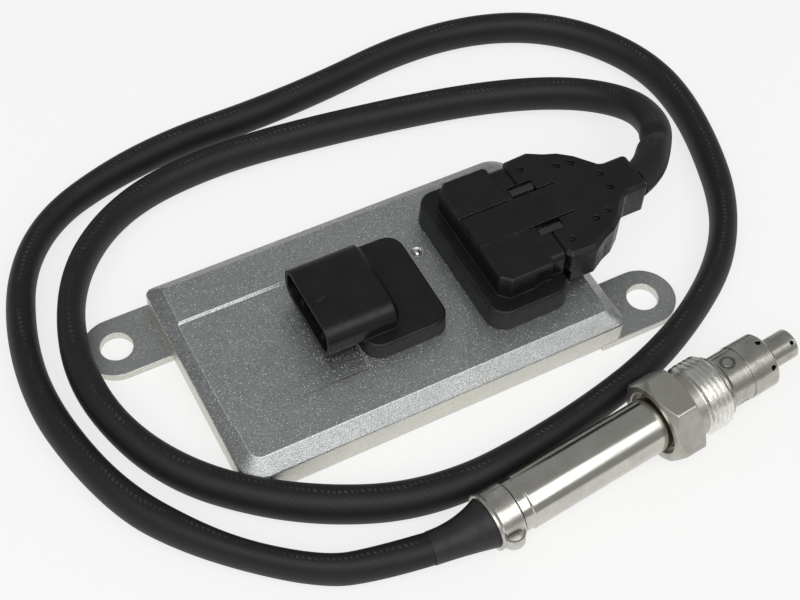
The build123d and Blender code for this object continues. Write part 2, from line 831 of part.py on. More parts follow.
# Plug cover: upper half of the funnel with the locking tongue, two latch windows and moulding holes
with BuildPart() as plug_cover:
    with BuildSketch(Plane.XY.offset(plug_parting)):
        add(plug_outline(plug_corner))
    extrude(amount=plug_top - plug_parting)
    chamfer(plug_cover.faces().sort_by(Axis.Z)[-1].edges().sort_by(Axis.X)[1:], length=plug_edge)
    with BuildSketch(Plane.XY.offset(plug_parting)):
        add(plug_cavity())
    extrude(amount=plug_top - plug_skin - plug_parting, mode=Mode.SUBTRACT)
    with BuildSketch(Plane.XY.offset(plug_top - tongue_thickness)):
        with Locations(((tongue_start_x + tongue_gap + plug_front_x + plug_skin) / 2, 0)):
            Rectangle(plug_front_x + plug_skin - tongue_start_x - tongue_gap, tongue_width)
    extrude(amount=tongue_thickness)
    add(plug_passages(), mode=Mode.SUBTRACT)
    with BuildSketch(Plane.XY.offset(plug_top)):
        for side in (-1, 1):
            with Locations(((window_high_x + plug_front_x) / 2, side * window_y)):
                Rectangle(window_high_x - plug_front_x, window_width)
            with Locations(((slit_end_x + plug_front_x) / 2, side * slit_y)):
                Rectangle(slit_end_x - plug_front_x, 2 * tongue_groove)
    extrude(amount=-window_depth, mode=Mode.SUBTRACT)
    with BuildSketch(Plane.XY.offset(plug_top - window_depth)):
        for side in (-1, 1):
            with Locations(((window_high_x + rail_start_x) / 2, side * rail_y)):
                Rectangle(window_high_x - rail_start_x, rail_width)
    extrude(amount=window_depth - rail_drop)
    with BuildSketch(Plane.XY.offset(plug_top)):
        for side in (-1, 1):
            with Locations(*[(hole_x, side * hole_y) for hole_x, hole_y in plug_hole_places]):
                Circle(plug_hole_radius)
    extrude(amount=-plug_hole_depth, mode=Mode.SUBTRACT)

# Plug shell: lower half of the funnel, cut back to clear the header's pad
with BuildPart() as plug_shell:
    with BuildSketch(Plane.XY.offset(plug_bottom)):
        add(plug_outline(plug_corner))
    extrude(amount=plug_parting - plug_gap - plug_bottom)
    chamfer(plug_shell.faces().sort_by(Axis.Z)[0].edges().sort_by(Axis.X)[1:], length=plug_edge)
    with BuildSketch(Plane.XY.offset(plug_bottom + plug_skin)):
        add(plug_cavity())
    extrude(amount=plug_parting - plug_bottom, mode=Mode.SUBTRACT)
    with BuildSketch(Plane.XY.offset(plug_bottom)):
        with Locations((pad_clear_x / 2, 0)):
            Rectangle(pad_clear_x, box_width)
    extrude(amount=sensor_pad_top + plug_gap - plug_bottom, mode=Mode.SUBTRACT)
    add(plug_passages(), mode=Mode.SUBTRACT)

# Cable grommet in the plug's neck
grommet_start_x = plug_neck_end_x - grommet_length
with BuildPart() as cable_grommet:
    with BuildSketch(across_plug(grommet_start_x, cable_height)):
        Circle(grommet_radius)
    extrude(amount=grommet_length)

# Wires from the contacts to the grommet
with BuildPart() as plug_wires:
    for number, contact_place in enumerate(contact_places):
        turn = wire_turns[number]
        start = Vector(carrier_back_x + wire_gap, contact_place[0], contact_place[1])
        end = Vector(
            grommet_start_x - wire_gap,
            wire_circle * cos(radians(turn)),
            cable_height + wire_circle * sin(radians(turn)),
        )
        with BuildSketch(Plane(origin=start, z_dir=end - start)):
            Circle(wire_radius)
        extrude(amount=(end - start).length)

# Cable: straight runs joined by arcs as large as the runs allow
cable_end = probe_point + probe_forward * boot_rear
cable_points.append(tuple(cable_end - probe_forward * cable_last_run))
cable_points.append(tuple(cable_end))
cable_radii = route_radii(cable_points)
with BuildPart() as sensor_cable:
    with BuildLine() as cable_path:
        FilletPolyline(*cable_points, radius=cable_radii)
    with BuildSketch(Plane(origin=cable_points[0], z_dir=(1, 0, 0))):
        Circle(cable_radius)
    sweep()
cable_length = sum(edge.length for edge in cable_path.edges())
print("cable radii", [round(radius, 1) for radius in cable_radii])
print("cable length", round(cable_length, 1))
print("cable volume over section times length",
      round(sensor_cable.part.volume / (pi * cable_radius**2 * cable_length), 5))

# Probe boot: rubber sleeve with a concave flare, clamped on the barrel's tail
boot_radius = clamp_radius - clamp_skin
with BuildPart() as cable_boot:
    with BuildSketch(probe_section):
        with BuildLine():
            Polyline(
                (boot_rear, boot_bore_radius),
                (boot_rear, boot_rear_radius),
            )
            Spline(
                (boot_rear, boot_rear_radius),
                (boot_middle, boot_middle_radius),
                (clamp_rear, boot_radius),
                tangents=((1, 0), (1, boot_flare)),
            )
            Polyline(
                (clamp_rear, boot_radius),
                (barrel_rear - boot_end_gap, boot_radius),
                (barrel_rear - boot_end_gap, barrel_tail_radius),
                (barrel_tail, barrel_tail_radius),
                (barrel_tail, boot_bore_radius),
                (boot_rear, boot_bore_radius),
            )
        make_face()
    revolve(axis=probe_axis)

# Boot clamp: band with a rolled rear rim and a bowed ear
with BuildPart() as boot_clamp:
    with BuildSketch(probe_section):
        with BuildLine():
            Polyline(
                (clamp_rear, boot_radius),
                (clamp_rear, clamp_radius + clamp_rim),
                (clamp_rear + clamp_rim_width, clamp_radius + clamp_rim),
                (clamp_rear + 2 * clamp_rim_width, clamp_radius),
                (clamp_front, clamp_radius),
                (clamp_front, boot_radius),
                close=True,
            )
        make_face()
    revolve(axis=probe_axis)
    ear_half = (clamp_front - clamp_rear) / 2 - clamp_ear_inset
    ear_foot = clamp_radius - clamp_skin / 2
    ear_top = clamp_radius + clamp_ear_rise
    with BuildSketch(radial_plane((clamp_rear + clamp_front) / 2, clamp_ear_angle + 90)):
        with BuildLine():
            ThreePointArc((-ear_half, ear_foot), (0, ear_top), (ear_half, ear_foot))
            Line((ear_half, ear_foot), (ear_half - clamp_ear_foot, ear_foot))
            ThreePointArc(
                (ear_half - clamp_ear_foot, ear_foot),
                (0, ear_top - clamp_skin),
                (clamp_ear_foot - ear_half, ear_foot),
            )
            Line((clamp_ear_foot - ear_half, ear_foot), (-ear_half, ear_foot))
        make_face()
    extrude(amount=clamp_ear_width / 2, both=True)

# Barrel: thin stepped tube from the boot to the probe's body
with BuildPart() as barrel:
    with BuildSketch(probe_section):
        with BuildLine():
            Polyline(
                (barrel_tail, barrel_tail_radius - barrel_skin),
                (barrel_tail, barrel_tail_radius),
                (barrel_rear, barrel_tail_radius),
                (barrel_rear, barrel_groove_radius),
                (barrel_step, barrel_groove_radius),
                (barrel_step + barrel_radius - barrel_groove_radius, barrel_radius),
                (barrel_front, barrel_radius),
                (barrel_front, barrel_radius - barrel_skin),
                (barrel_step + barrel_skin, barrel_radius - barrel_skin),
                (barrel_step + barrel_skin, barrel_groove_radius - barrel_skin),
                (barrel_rear + barrel_skin, barrel_groove_radius - barrel_skin),
                (barrel_rear + barrel_skin, barrel_tail_radius - barrel_skin),
                close=True,
            )
        make_face()
    revolve(axis=probe_axis)

# Wires inside the barrel, from its rear grommet to the contact holder
with BuildPart() as probe_wires:
    with BuildSketch(across_probe(probe_wire_rear)):
        with PolarLocations(probe_wire_circle, probe_wire_count):
            Circle(probe_wire_radius)
    extrude(amount=probe_wire_front - probe_wire_rear)

# Rear grommet in the barrel's tail
with BuildPart() as rear_grommet:
    with BuildSketch(across_probe(barrel_tail)):
        Circle(barrel_tail_radius - barrel_skin - fit)
        with PolarLocations(probe_wire_circle, probe_wire_count):
            Circle(probe_wire_radius + fit, mode=Mode.SUBTRACT)
    extrude(amount=barrel_rear - barrel_tail)

# Contact holder: ceramic block that grips the element's rear end
with BuildPart() as contact_holder:
    with BuildSketch(across_probe(holder_rear)):
        Circle(barrel_radius - barrel_skin - fit)
    extrude(amount=holder_front - holder_rear)
    add(element_slot(element_rear - element_clearance, holder_front, element_clearance), mode=Mode.SUBTRACT)
    with BuildSketch(across_probe(holder_rear)):
        with PolarLocations(probe_wire_circle, probe_wire_count):
            Circle(probe_wire_radius + fit)
    extrude(amount=probe_wire_front + fit - holder_rear, mode=Mode.SUBTRACT)

# Probe body: turned shell with a rear spigot in the barrel, the sealing collar and a front spigot
spigot_front = body_front + spigot_length
lip_rear = spigot_front - tip_radius + fit
probe_body = turned(
    [
        (body_spigot_rear, body_bore_radius),
        (body_spigot_rear, barrel_radius - barrel_skin - fit),
        (barrel_front, barrel_radius - barrel_skin - fit),
        (barrel_front, barrel_radius),
        (collar_start, barrel_radius),
        (collar_start, collar_radius),
        (collar_stop - collar_radius + body_radius, collar_radius),
        (collar_stop, body_radius),
        (body_front, body_radius),
        (body_front, shield_radius - shield_skin - fit),
        (spigot_front, shield_radius - shield_skin - fit),
        (spigot_front, body_lip_radius),
        (lip_rear, body_lip_radius),
        (lip_rear, body_bore_radius),
    ]
)
with BuildPart() as welded_body:
    add(probe_body.part)
    for station, angle in weld_places:
        with BuildSketch(radial_plane(station, angle).offset(body_radius - weld_depth)):
            Circle(weld_radius)
            Circle(weld_radius - weld_width, mode=Mode.SUBTRACT)
        extrude(amount=weld_radius, mode=Mode.SUBTRACT)

# Packing inside the body, from the front lip back: insulator, talc, insulator, retaining ring
talc_front = lip_rear - insulator_length
talc_rear = talc_front - talc_length
ring_front = talc_rear - insulator_length
with BuildPart() as ceramic_insulators:
    for rear in (talc_front, ring_front):
        with BuildSketch(across_probe(rear)):
            Circle(body_bore_radius - fit)
        extrude(amount=insulator_length)
    add(element_slot(ring_front, lip_rear, element_clearance), mode=Mode.SUBTRACT)
with BuildPart() as talc_packing:
    with BuildSketch(across_probe(talc_rear)):
        Circle(body_bore_radius - fit)
    extrude(amount=talc_length)
    add(element_slot(talc_rear, talc_front, element_clearance), mode=Mode.SUBTRACT)
with BuildPart() as retaining_ring:
    with BuildSketch(across_probe(ring_front - ring_length)):
        Circle(body_bore_radius - fit)
        Circle(ring_bore, mode=Mode.SUBTRACT)
    extrude(amount=ring_length)

# Sensing element: flat ceramic bar
with BuildPart() as ceramic_element:
    add(element_slot(element_rear, element_front, 0))

# Inner shield: flanged tip tube with a closed front
inner_shield_tube = turned(
    [
        (spigot_front, tip_radius - tip_skin),
        (spigot_front, shield_radius - shield_skin - fit),
        (spigot_front + tip_flange, shield_radius - shield_skin - fit),
        (spigot_front + tip_flange, tip_radius),
        (tip_end - tip_skin, tip_radius),
        (tip_end, tip_radius - tip_skin),
        (tip_end, 0),
        (tip_end - tip_skin, 0),
        (tip_end - tip_skin, tip_radius - tip_skin),
    ]
)
with BuildPart() as inner_shield:
    add(inner_shield_tube.part)
    for number in range(tip_hole_count):
        with BuildSketch(radial_plane(tip_hole_place, tip_hole_angle + number * 360 / tip_hole_count)):
            Circle(tip_hole_radius)
        extrude(amount=2 * tip_radius, mode=Mode.SUBTRACT)

# Outer shield: perforated cup over the inner one
outer_shield_cup = turned(
    [
        (body_front, shield_radius - shield_skin),
        (body_front, shield_radius),
        (shield_front - shield_skin, shield_radius),
        (shield_front, shield_radius - shield_skin),
        (shield_front, tip_radius + fit),
        (shield_front - shield_skin, tip_radius + fit),
        (shield_front - shield_skin, shield_radius - shield_skin),
    ]
)
with BuildPart() as outer_shield:
    add(outer_shield_cup.part)
    for number in range(shield_hole_count):
        hole_plane = radial_plane(
            shield_hole_place, shield_hole_angle + number * 360 / shield_hole_count
        )
        with BuildSketch(hole_plane.offset((tip_radius + shield_radius) / 2)):
            Circle(shield_hole_radius)
        extrude(amount=shield_radius, mode=Mode.SUBTRACT)

# Hex screw: chamfered hexagon, neck and thread, bored to turn freely on the barrel
hex_envelope = turned(
    [
        (hex_rear, 0),
        (hex_rear, hex_face_radius),
        (hex_rear_full, hex_corner_radius + hex_corner_margin),
        (hex_front_full, hex_corner_radius + hex_corner_margin),
        (hex_front, hex_face_radius),
        (hex_front, 0),
    ]
)
with BuildPart() as hex_screw:
    with BuildSketch(across_probe(hex_rear)):
        RegularPolygon(radius=hex_corner_radius, side_count=6)
    extrude(amount=hex_front - hex_rear)
    add(hex_envelope.part, mode=Mode.INTERSECT)
    with BuildSketch(across_probe(hex_front)):
        Circle(screw_neck_radius)
    extrude(amount=screw_neck_end - hex_front)
    with BuildSketch(across_probe(screw_neck_end)):
        Circle(thread_radius)
    extrude(amount=thread_end - screw_neck_end)
    thread_rims = hex_screw.edges().filter_by(GeomType.CIRCLE).filter_by(
        lambda edge: abs(edge.radius - thread_radius) < 0.01
    )
    chamfer(thread_rims, length=thread_lead)
    with BuildSketch(across_probe(hex_rear)):
        Circle(screw_bore_radius)
    extrude(amount=thread_end - hex_rear, mode=Mode.SUBTRACT)
    with BuildSketch(across_probe(hex_rear)):
        Circle(rear_bore_radius)
    extrude(amount=rear_bore_depth, mode=Mode.SUBTRACT)

# Circuit board with its fixing and pin holes
with BuildPart() as circuit_board:
    with BuildSketch(Plane.XY.offset(board_bottom)):
        RectangleRounded(board_length, board_width, board_corner)
        with GridLocations(board_hole_x, board_hole_y, 2, 2):
            Circle(board_hole_radius, mode=Mode.SUBTRACT)
        with Locations(*[(vehicle_pin_bend_x, pin_y) for pin_y in vehicle_pin_places]):
            Circle(pin_hole_radius, mode=Mode.SUBTRACT)
        for bend_x in sensor_pin_bend_x:
            with Locations(*[(bend_x, pin_y) for pin_y in sensor_pin_places]):
                Circle(pin_hole_radius, mode=Mode.SUBTRACT)
    extrude(amount=board_thickness)

# Board screws
with BuildPart() as board_screws:
    with BuildSketch(Plane.XY.offset(board_top)):
        with GridLocations(board_hole_x, board_hole_y, 2, 2):
            Circle(screw_head_radius)
    extrude(amount=screw_head_height)
    with BuildSketch(Plane.XY.offset(board_top + screw_head_height)):
        with GridLocations(board_hole_x, board_hole_y, 2, 2):
            RegularPolygon(radius=screw_drive_radius, side_count=6)
    extrude(amount=-screw_drive_depth, mode=Mode.SUBTRACT)
    with BuildSketch(Plane.XY.offset(board_top)):
        with GridLocations(board_hole_x, board_hole_y, 2, 2):
            Circle(screw_radius)
    extrude(amount=-board_thickness - screw_depth)

# Components on the board
processor = board_part([processor_place], processor_size, processor_size, processor_height)
driver_chips = board_part(driver_places, driver_length, driver_width, driver_height)
heater_switches = board_part(switch_places, switch_length, switch_width, switch_height)
inductor = board_part([inductor_place], inductor_size, inductor_size, inductor_height)
with BuildPart() as capacitors:
    with BuildSketch(Plane.XY.offset(board_top)):
        with Locations(*capacitor_places):
            Circle(capacitor_radius)
    extrude(amount=capacitor_height)
    chamfer(capacitors.faces().group_by(Axis.Z)[-1].edges(), length=part_edge)

pieces = {
    "housing_base": housing_base,
    "housing_cover": housing_cover,
    "cover_seal": cover_seal,
    "sealing_ball": sealing_ball,
    "circuit_board": circuit_board,
    "board_screws": board_screws,
    "processor": processor,
    "driver_chips": driver_chips,
    "heater_switches": heater_switches,
    "inductor": inductor,
    "capacitors": capacitors,
    "vehicle_header": vehicle_header,
    "vehicle_header_pins": vehicle_header_pins,
    "vehicle_header_seal": vehicle_header_seal,
    "sensor_header": sensor_header,
    "sensor_header_pins": sensor_header_pins,
    "sensor_header_seal": sensor_header_seal,
    "contact_carrier": contact_carrier,
    "plug_seal": plug_seal,
    "plug_contacts": plug_contacts,
    "plug_cover": plug_cover,
    "plug_shell": plug_shell,
    "cable_grommet": cable_grommet,
    "plug_wires": plug_wires,
    "sensor_cable": sensor_cable,
    "cable_boot": cable_boot,
    "boot_clamp": boot_clamp,
    "barrel": barrel,
    "probe_wires": probe_wires,
    "rear_grommet": rear_grommet,
    "contact_holder": contact_holder,
    "probe_body": welded_body,
    "ceramic_insulators": ceramic_insulators,
    "talc_packing": talc_packing,
    "retaining_ring": retaining_ring,
    "ceramic_element": ceramic_element,
    "inner_shield": inner_shield,
    "outer_shield": outer_shield,
    "hex_screw": hex_screw,
}
os.makedirs("parts", exist_ok=True)
for name, piece in pieces.items():
    piece.part.label = name
    export_step(piece.part, f"parts/{name}.step")
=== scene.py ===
from math import cos, exp, pi, radians, sin

import bpy
from mathutils import Matrix, Vector


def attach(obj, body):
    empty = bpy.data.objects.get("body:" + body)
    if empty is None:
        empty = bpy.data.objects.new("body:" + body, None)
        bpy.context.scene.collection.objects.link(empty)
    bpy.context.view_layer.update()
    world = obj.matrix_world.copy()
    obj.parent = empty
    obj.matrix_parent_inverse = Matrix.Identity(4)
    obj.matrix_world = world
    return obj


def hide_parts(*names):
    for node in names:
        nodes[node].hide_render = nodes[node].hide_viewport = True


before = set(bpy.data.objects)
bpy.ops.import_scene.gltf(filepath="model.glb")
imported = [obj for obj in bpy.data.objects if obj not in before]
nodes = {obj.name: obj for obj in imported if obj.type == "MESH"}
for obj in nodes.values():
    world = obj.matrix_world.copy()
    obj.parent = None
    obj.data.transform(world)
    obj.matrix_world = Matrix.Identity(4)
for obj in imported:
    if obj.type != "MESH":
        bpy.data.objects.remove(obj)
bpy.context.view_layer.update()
MM = 0.001

# Camera fitted to the photograph: right, up and back directions, place and lens
camera_right = (0.884464823, -0.465561492, 0.031216568)
camera_up = (0.357298281, 0.718778094, 0.596402541)
camera_back = (-0.300099842, -0.516343441, 0.802078260)
camera_place = (-0.11936, -0.21324, 0.34080)
camera_data = bpy.data.cameras.new("camera")
camera_data.lens = 68.56
camera_data.sensor_width = 36.0
camera_data.clip_start = 0.01
camera_data.clip_end = 20.0
camera = bpy.data.objects.new("camera", camera_data)
bpy.context.scene.collection.objects.link(camera)
camera_turn = Matrix((camera_right, camera_up, camera_back)).transposed().to_4x4()
camera.matrix_world = Matrix.Translation(camera_place) @ camera_turn
bpy.context.scene.camera = camera

# Probe's own frame: a point in the hexagon's middle, and forward, side and up directions
probe_azimuth = radians(4.75)
probe_tilt = radians(3.4)
hex_across_flats = 22.0 * MM
probe_forward = Vector((
    cos(probe_azimuth) * cos(probe_tilt),
    sin(probe_azimuth) * cos(probe_tilt),
    sin(probe_tilt),
))
probe_side = Vector((-sin(probe_azimuth), cos(probe_azimuth), 0.0))
probe_up = probe_forward.cross(probe_side)
probe_point = Vector((48.0, -64.3, 11.257)) * MM
probe_turn = Matrix((probe_forward, probe_side, probe_up)).transposed()


def link(obj):
    """Puts a new object into the scene."""
    bpy.context.scene.collection.objects.link(obj)
    return obj


def on_probe(station, radius, angle):
    """Point at a station along the probe, a radius and an angle from level, in metres."""
    outward = probe_side * cos(angle) + probe_up * sin(angle)
    return probe_point + probe_forward * station + outward * radius


# Cable: NURBS control points that scratch scripts fitted to the photograph, adjusted by hand
cable_route = [
    (78, 0, 20.9),
    (83.9, 1.8, 20.9),
    (91.1, 8.9, 19.6),
    (98.8, 18.5, 16.2),
    (100.4, 33.6, 11.2),
    (87.7, 48.8, 7.6),
    (62, 60, 6.0),
    (24.2, 67.3, 5.8),
    (-18.6, 72.6, 5.8),
    (-51.2, 67.1, 6.3),
    (-74.2, 44.8, 9.2),
    (-82.6, 12, 9.2),
    (-72.4, -19.1, 6.2),
    (-47.2, -42.7, 5.8),
    (-15, -57, 5.8),
    (24.7, -53.8, 5.8),
    (67.1, -43.4, 5.8),
    (102.8, -19.2, 5.8),
    (118.1, 22.7, 5.8),
    (117.7, 52.6, 5.8),
    (97.2, 79.8, 5.8),
    (60.7, 90.5, 5.8),
    (10, 83.1, 5.8),
    (-38, 83.4, 5.8),
    (-79, 68.8, 5.8),
    (-94.6, 24.8, 5.8),
    (-87.4, -17.7, 5.8),
    (-70.9, -42.9, 5.7),
    (-49.1, -61.8, 5.5),
    (-35.2, -66.1, 5.9),
]
cable_end = Vector((-22.9, -68.4, 6.8)) * MM
cable_half_width = 3.95 * MM
cable_half_height = 5.0 * MM
cable_start_radius = 5.0 * MM
cable_end_radius = 4.2 * MM
cable_start_fade = 68 * MM
cable_end_fade = 30 * MM
cable_ring = 36
route_steps = 40
cable_smooth_angle = 60
fold_place = Vector((92.9, 11.3, 18.8)) * MM
fold_depth = 2.2 * MM
fold_reach = 2.2 * MM
fold_top_share = 0.4
sway_waves = ((173, 0.0), (71, 1.3))
sway_width_share = 0.03
sway_height_share = 0.02
cable_swell_step = 35 * MM
cable_swell_height_share = 0.4
# Width factors from a scratch script that compared photograph and render, some changed by hand
cable_swell = (
    1.03, 1.05, 1.16, 1.16, 1.15, 1.08, 0.98, 0.96, 1.05, 1.18, 1.22, 1.15, 1.03, 0.97,
    1.02, 1.08, 1.1, 1.1, 1.05, 1.04, 1.05, 1.03, 0.91, 0.97, 1.06, 1.09, 0.9, 1.0, 1.0,
)
# Places round the sleeve, from its outer side over the top: the painted highlight stripe and the
# painted light band on one flank
highlight_stripe_place = 7.1 * MM
lit_flank_place = 10.4 * MM


def route_line(points):
    """Points along the smooth NURBS line through a route's control points."""
    curve = bpy.data.curves.new("route", "CURVE")
    curve.dimensions = "3D"
    curve.resolution_u = route_steps
    spline = curve.splines.new("NURBS")
    spline.points.add(len(points) - 1)
    for spline_point, place in zip(spline.points, points):
        spline_point.co = (*place, 1.0)
    spline.order_u = 3
    spline.use_endpoint_u = True
    holder = link(bpy.data.objects.new("route", curve))
    bpy.context.view_layer.update()
    mesh = bpy.data.meshes.new_from_object(holder)
    line = [vertex.co.copy() for vertex in mesh.vertices]
    bpy.data.objects.remove(holder)
    bpy.data.curves.remove(curve)
    bpy.data.meshes.remove(mesh)
    return line


def smooth_step(value):
    """Smooth ramp from 0 to 1."""
    value = max(0.0, min(1.0, value))
    return value * value * (3 - 2 * value)


def lengths_along(line):
    """Length from the line's start to each of its points."""
    along = [0.0]
    for before, here in zip(line, line[1:]):
        along.append(along[-1] + (here - before).length)
    return along


def build_mesh(name, points, faces, smooth_angle=None):
    """New object from points and faces, smooth shaded up to an angle."""
    mesh = bpy.data.meshes.new(name)
    mesh.from_pydata(points, [], faces)
    mesh.validate()
    if smooth_angle is not None:
        mesh.polygons.foreach_set("use_smooth", [True] * len(mesh.polygons))
        mesh.set_sharp_from_angle(angle=radians(smooth_angle))
    mesh.update()
    return link(bpy.data.objects.new(name, mesh))


def swell_at(place):
    """The sleeve's width factor at a length along it, eased between the listed ones."""
    number, share = divmod(place / cable_swell_step, 1)
    number = min(int(number), len(cable_swell) - 2)
    share = smooth_step(share)
    return cable_swell[number] * (1 - share) + cable_swell[number + 1] * share


def sleeve_tube(name, line):
    """Oval sleeve standing on edge along a line, round at both ends, with a UV map in metres."""
    along = lengths_along(line)
    total = along[-1]
    points = []
    for number, centre in enumerate(line):
        ahead = line[min(number + 1, len(line) - 1)]
        behind = line[max(number - 1, 0)]
        tangent = (ahead - behind).normalized()
        across = tangent.cross(Vector((0, 0, 1))).normalized()
        upward = across.cross(tangent).normalized()
        place = along[number]
        end_radius = cable_start_radius
        share = smooth_step(place / cable_start_fade)
        if place > total / 2:
            end_radius = cable_end_radius
            share = smooth_step((total - place) / cable_end_fade)
        sway = sum(0.5 * sin(place * rate + start) for rate, start in sway_waves)
        half_width = end_radius + (cable_half_width - end_radius) * share
        half_height = end_radius + (cable_half_height - end_radius) * share
        swell = (swell_at(place) - 1) * share
        half_width *= 1 + sway_width_share * sway * share + swell
        half_height *= 1 - sway_height_share * sway * share + cable_swell_height_share * swell
        pinch = fold_depth * exp(-(((centre - fold_place).length / fold_reach) ** 2))
        for step in range(cable_ring):
            angle = 2 * pi * step / cable_ring
            outward = across * cos(angle) * half_width + upward * sin(angle) * half_height
            inner_side = max(0.0, fold_top_share - (1 - fold_top_share) * cos(angle))
            points.append(centre + outward - outward.normalized() * pinch * inner_side)
    faces = []
    for number in range(len(line) - 1):
        for step in range(cable_ring):
            here = number * cable_ring + step
            beside = number * cable_ring + (step + 1) % cable_ring
            faces.append((here, beside, beside + cable_ring, here + cable_ring))
    last = (len(line) - 1) * cable_ring
    faces.append(tuple(reversed(range(cable_ring))))
    faces.append(tuple(range(last, last + cable_ring)))
    sleeve = build_mesh(name, points, faces, cable_smooth_angle)
    girth = 2 * pi * cable_end_radius
    layer = sleeve.data.uv_layers.new(name="sleeve")
    for face in sleeve.data.polygons[:-2]:
        row, step = divmod(face.index, cable_ring)
        corners = ((row, step), (row, step + 1), (row + 1, step + 1), (row + 1, step))
        for loop, (corner_row, corner_step) in zip(face.loop_indices, corners):
            layer.data[loop].uv = (along[corner_row], girth * corner_step / cable_ring)
    return sleeve


route_points = [Vector(point) * MM for point in cable_route]
route_points.append(cable_end)
cable_line = route_line(route_points)
sleeve = sleeve_tube("cable_sleeve", cable_line)
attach(sleeve, "sensor")
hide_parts("sensor_cable")

# Latch bars: a rounded bar along the outer half of each window in the plug's cover
bar_low_x = 41.9 * MM
bar_high_x = 48.9 * MM
bar_inner_y = 6.6 * MM
bar_outer_y = 8.65 * MM
bar_low_z = 25.1 * MM
bar_high_z = 26.62 * MM
bar_edge = 0.25 * MM


def build_bars():
    """Both bars as closed prisms with chamfered long edges."""
    points = []
    faces = []
    for side in (-1, 1):
        section = [
            (bar_inner_y, bar_low_z),
            (bar_outer_y, bar_low_z),
            (bar_outer_y, bar_high_z - bar_edge),
            (bar_outer_y - bar_edge, bar_high_z),
            (bar_inner_y + bar_edge, bar_high_z),
            (bar_inner_y, bar_high_z - bar_edge),
        ]
        first = len(points)
        count = len(section)
        for place_x in (bar_low_x, bar_high_x):
            points.extend((place_x, side * place_y, place_z) for place_y, place_z in section)
        ends = [tuple(range(first, first + count)), tuple(range(first + count, first + 2 * count))]
        sides = [
            (first + k, first + (k + 1) % count, first + count + (k + 1) % count, first + count + k)
            for k in range(count)
        ]
        # Outward winding on both mirrored bars
        near, far = ends
        if side > 0:
            faces.append(tuple(reversed(near)))
            faces.append(far)
            faces.extend(sides)
        else:
            faces.append(near)
            faces.append(tuple(reversed(far)))
            faces.extend(tuple(reversed(face)) for face in sides)
    return build_mesh("latch_bars", points, faces)


bars = build_bars()
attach(bars, "sensor")

# Boot: the rubber piece's section swept along a line that bends from the clamp to the cable
boot_front = -48.6 * MM
boot_bend_start = -56.0 * MM
boot_bend_reach = 7.5 * MM
boot_rear_radius = 4.35 * MM
boot_bore_radius = 3.4 * MM
boot_clamped_radius = 6.8 * MM
boot_seat_radius = 5.6 * MM
boot_seat_end = -57.0 * MM
boot_ring = 64
boot_steps = 28
boot_smooth_angle = 40
boot_bend = (
    probe_point + probe_forward * boot_bend_start,
    probe_point + probe_forward * (boot_bend_start - boot_bend_reach),
    cable_end,
)


def boot_centre(share):
    """Point and direction on the boot's bent middle line, from the clamp to its rear face."""
    first = boot_bend[0].lerp(boot_bend[1], share)
    second = boot_bend[1].lerp(boot_bend[2], share)
    return first.lerp(second, share), (first - second).normalized()


def boot_radius(share):
    """Outer radius along the bend: a concave flare that runs out to the sleeve."""
    return boot_rear_radius + (boot_clamped_radius - boot_rear_radius) * (1 - share) ** 2


def build_boot():
    """Boot as one closed mesh of rings."""
    _, clamp_way = boot_centre(0)
    front_place = probe_point + probe_forward * boot_front
    seat_place = probe_point + probe_forward * boot_seat_end
    rows = [
        (seat_place, clamp_way, boot_bore_radius),
        (seat_place, clamp_way, boot_seat_radius),
        (front_place, clamp_way, boot_seat_radius),
        (front_place, clamp_way, boot_clamped_radius),
    ]
    for step in range(boot_steps + 1):
        share = step / boot_steps
        centre, way = boot_centre(share)
        rows.append((centre, way, boot_radius(share)))
    rear, rear_way = boot_centre(1)
    rows.append((rear, rear_way, boot_bore_radius))
    points = []
    for centre, way, radius in rows:
        across = way.cross(Vector((0, 0, 1))).normalized()
        upward = across.cross(way)
        for step in range(boot_ring):
            angle = 2 * pi * step / boot_ring
            points.append(centre + (across * cos(angle) + upward * sin(angle)) * radius)
    faces = []
    for row in range(len(rows)):
        after = (row + 1) % len(rows)
        for step in range(boot_ring):
            beside = (step + 1) % boot_ring
            faces.append((
                row * boot_ring + step,
                after * boot_ring + step,
                after * boot_ring + beside,
                row * boot_ring + beside,
            ))
    return build_mesh("boot_rubber_bent", points, faces, boot_smooth_angle)


boot = build_boot()
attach(boot, "sensor")
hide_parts("cable_boot")

# Hex screw with its thread: rings of points round the probe's axis, closed along a profile
hex_rear = -4.5 * MM
hex_front = 4.0 * MM
hex_rear_full = -2.6 * MM
hex_front_full = 2.8 * MM
hex_corner_radius = hex_across_flats / 2 / cos(radians(30))
hex_face_radius = hex_across_flats / 2 - 0.4 * MM
hex_edge_round = 0.16 * MM
hex_face_step = 0.1 * MM
hex_corner_spare = 0.1 * MM
hex_chamfer_steps = 12
neck_radius = 9.0 * MM
neck_end = 7.0 * MM
neck_fillet = 0.4 * MM
neck_gap = 0.05 * MM
thread_radius = 10.0 * MM
thread_end = 14.7 * MM
thread_pitch = 1.5 * MM
thread_depth = 0.88 * MM
thread_lead = 0.9 * MM
thread_crest_share = 0.12
thread_flank_share = 0.74
thread_steps = 120
bore_radius = 7.66 * MM
rear_bore_radius = 8.7 * MM
rear_bore_floor = -2.5 * MM
rear_bore_chamfer = 0.25 * MM
front_bore_chamfer = 0.3 * MM
screw_ring = 360
screw_smooth_angle = 28


def hex_radius(angle, envelope):
    """Radius of the hexagon at an angle, cut by a turned envelope and softly rounded."""
    flat = hex_across_flats / 2 / cos(angle % radians(60) - radians(30))
    flat = min(flat, hex_corner_radius - hex_edge_round)
    return min(flat, envelope)


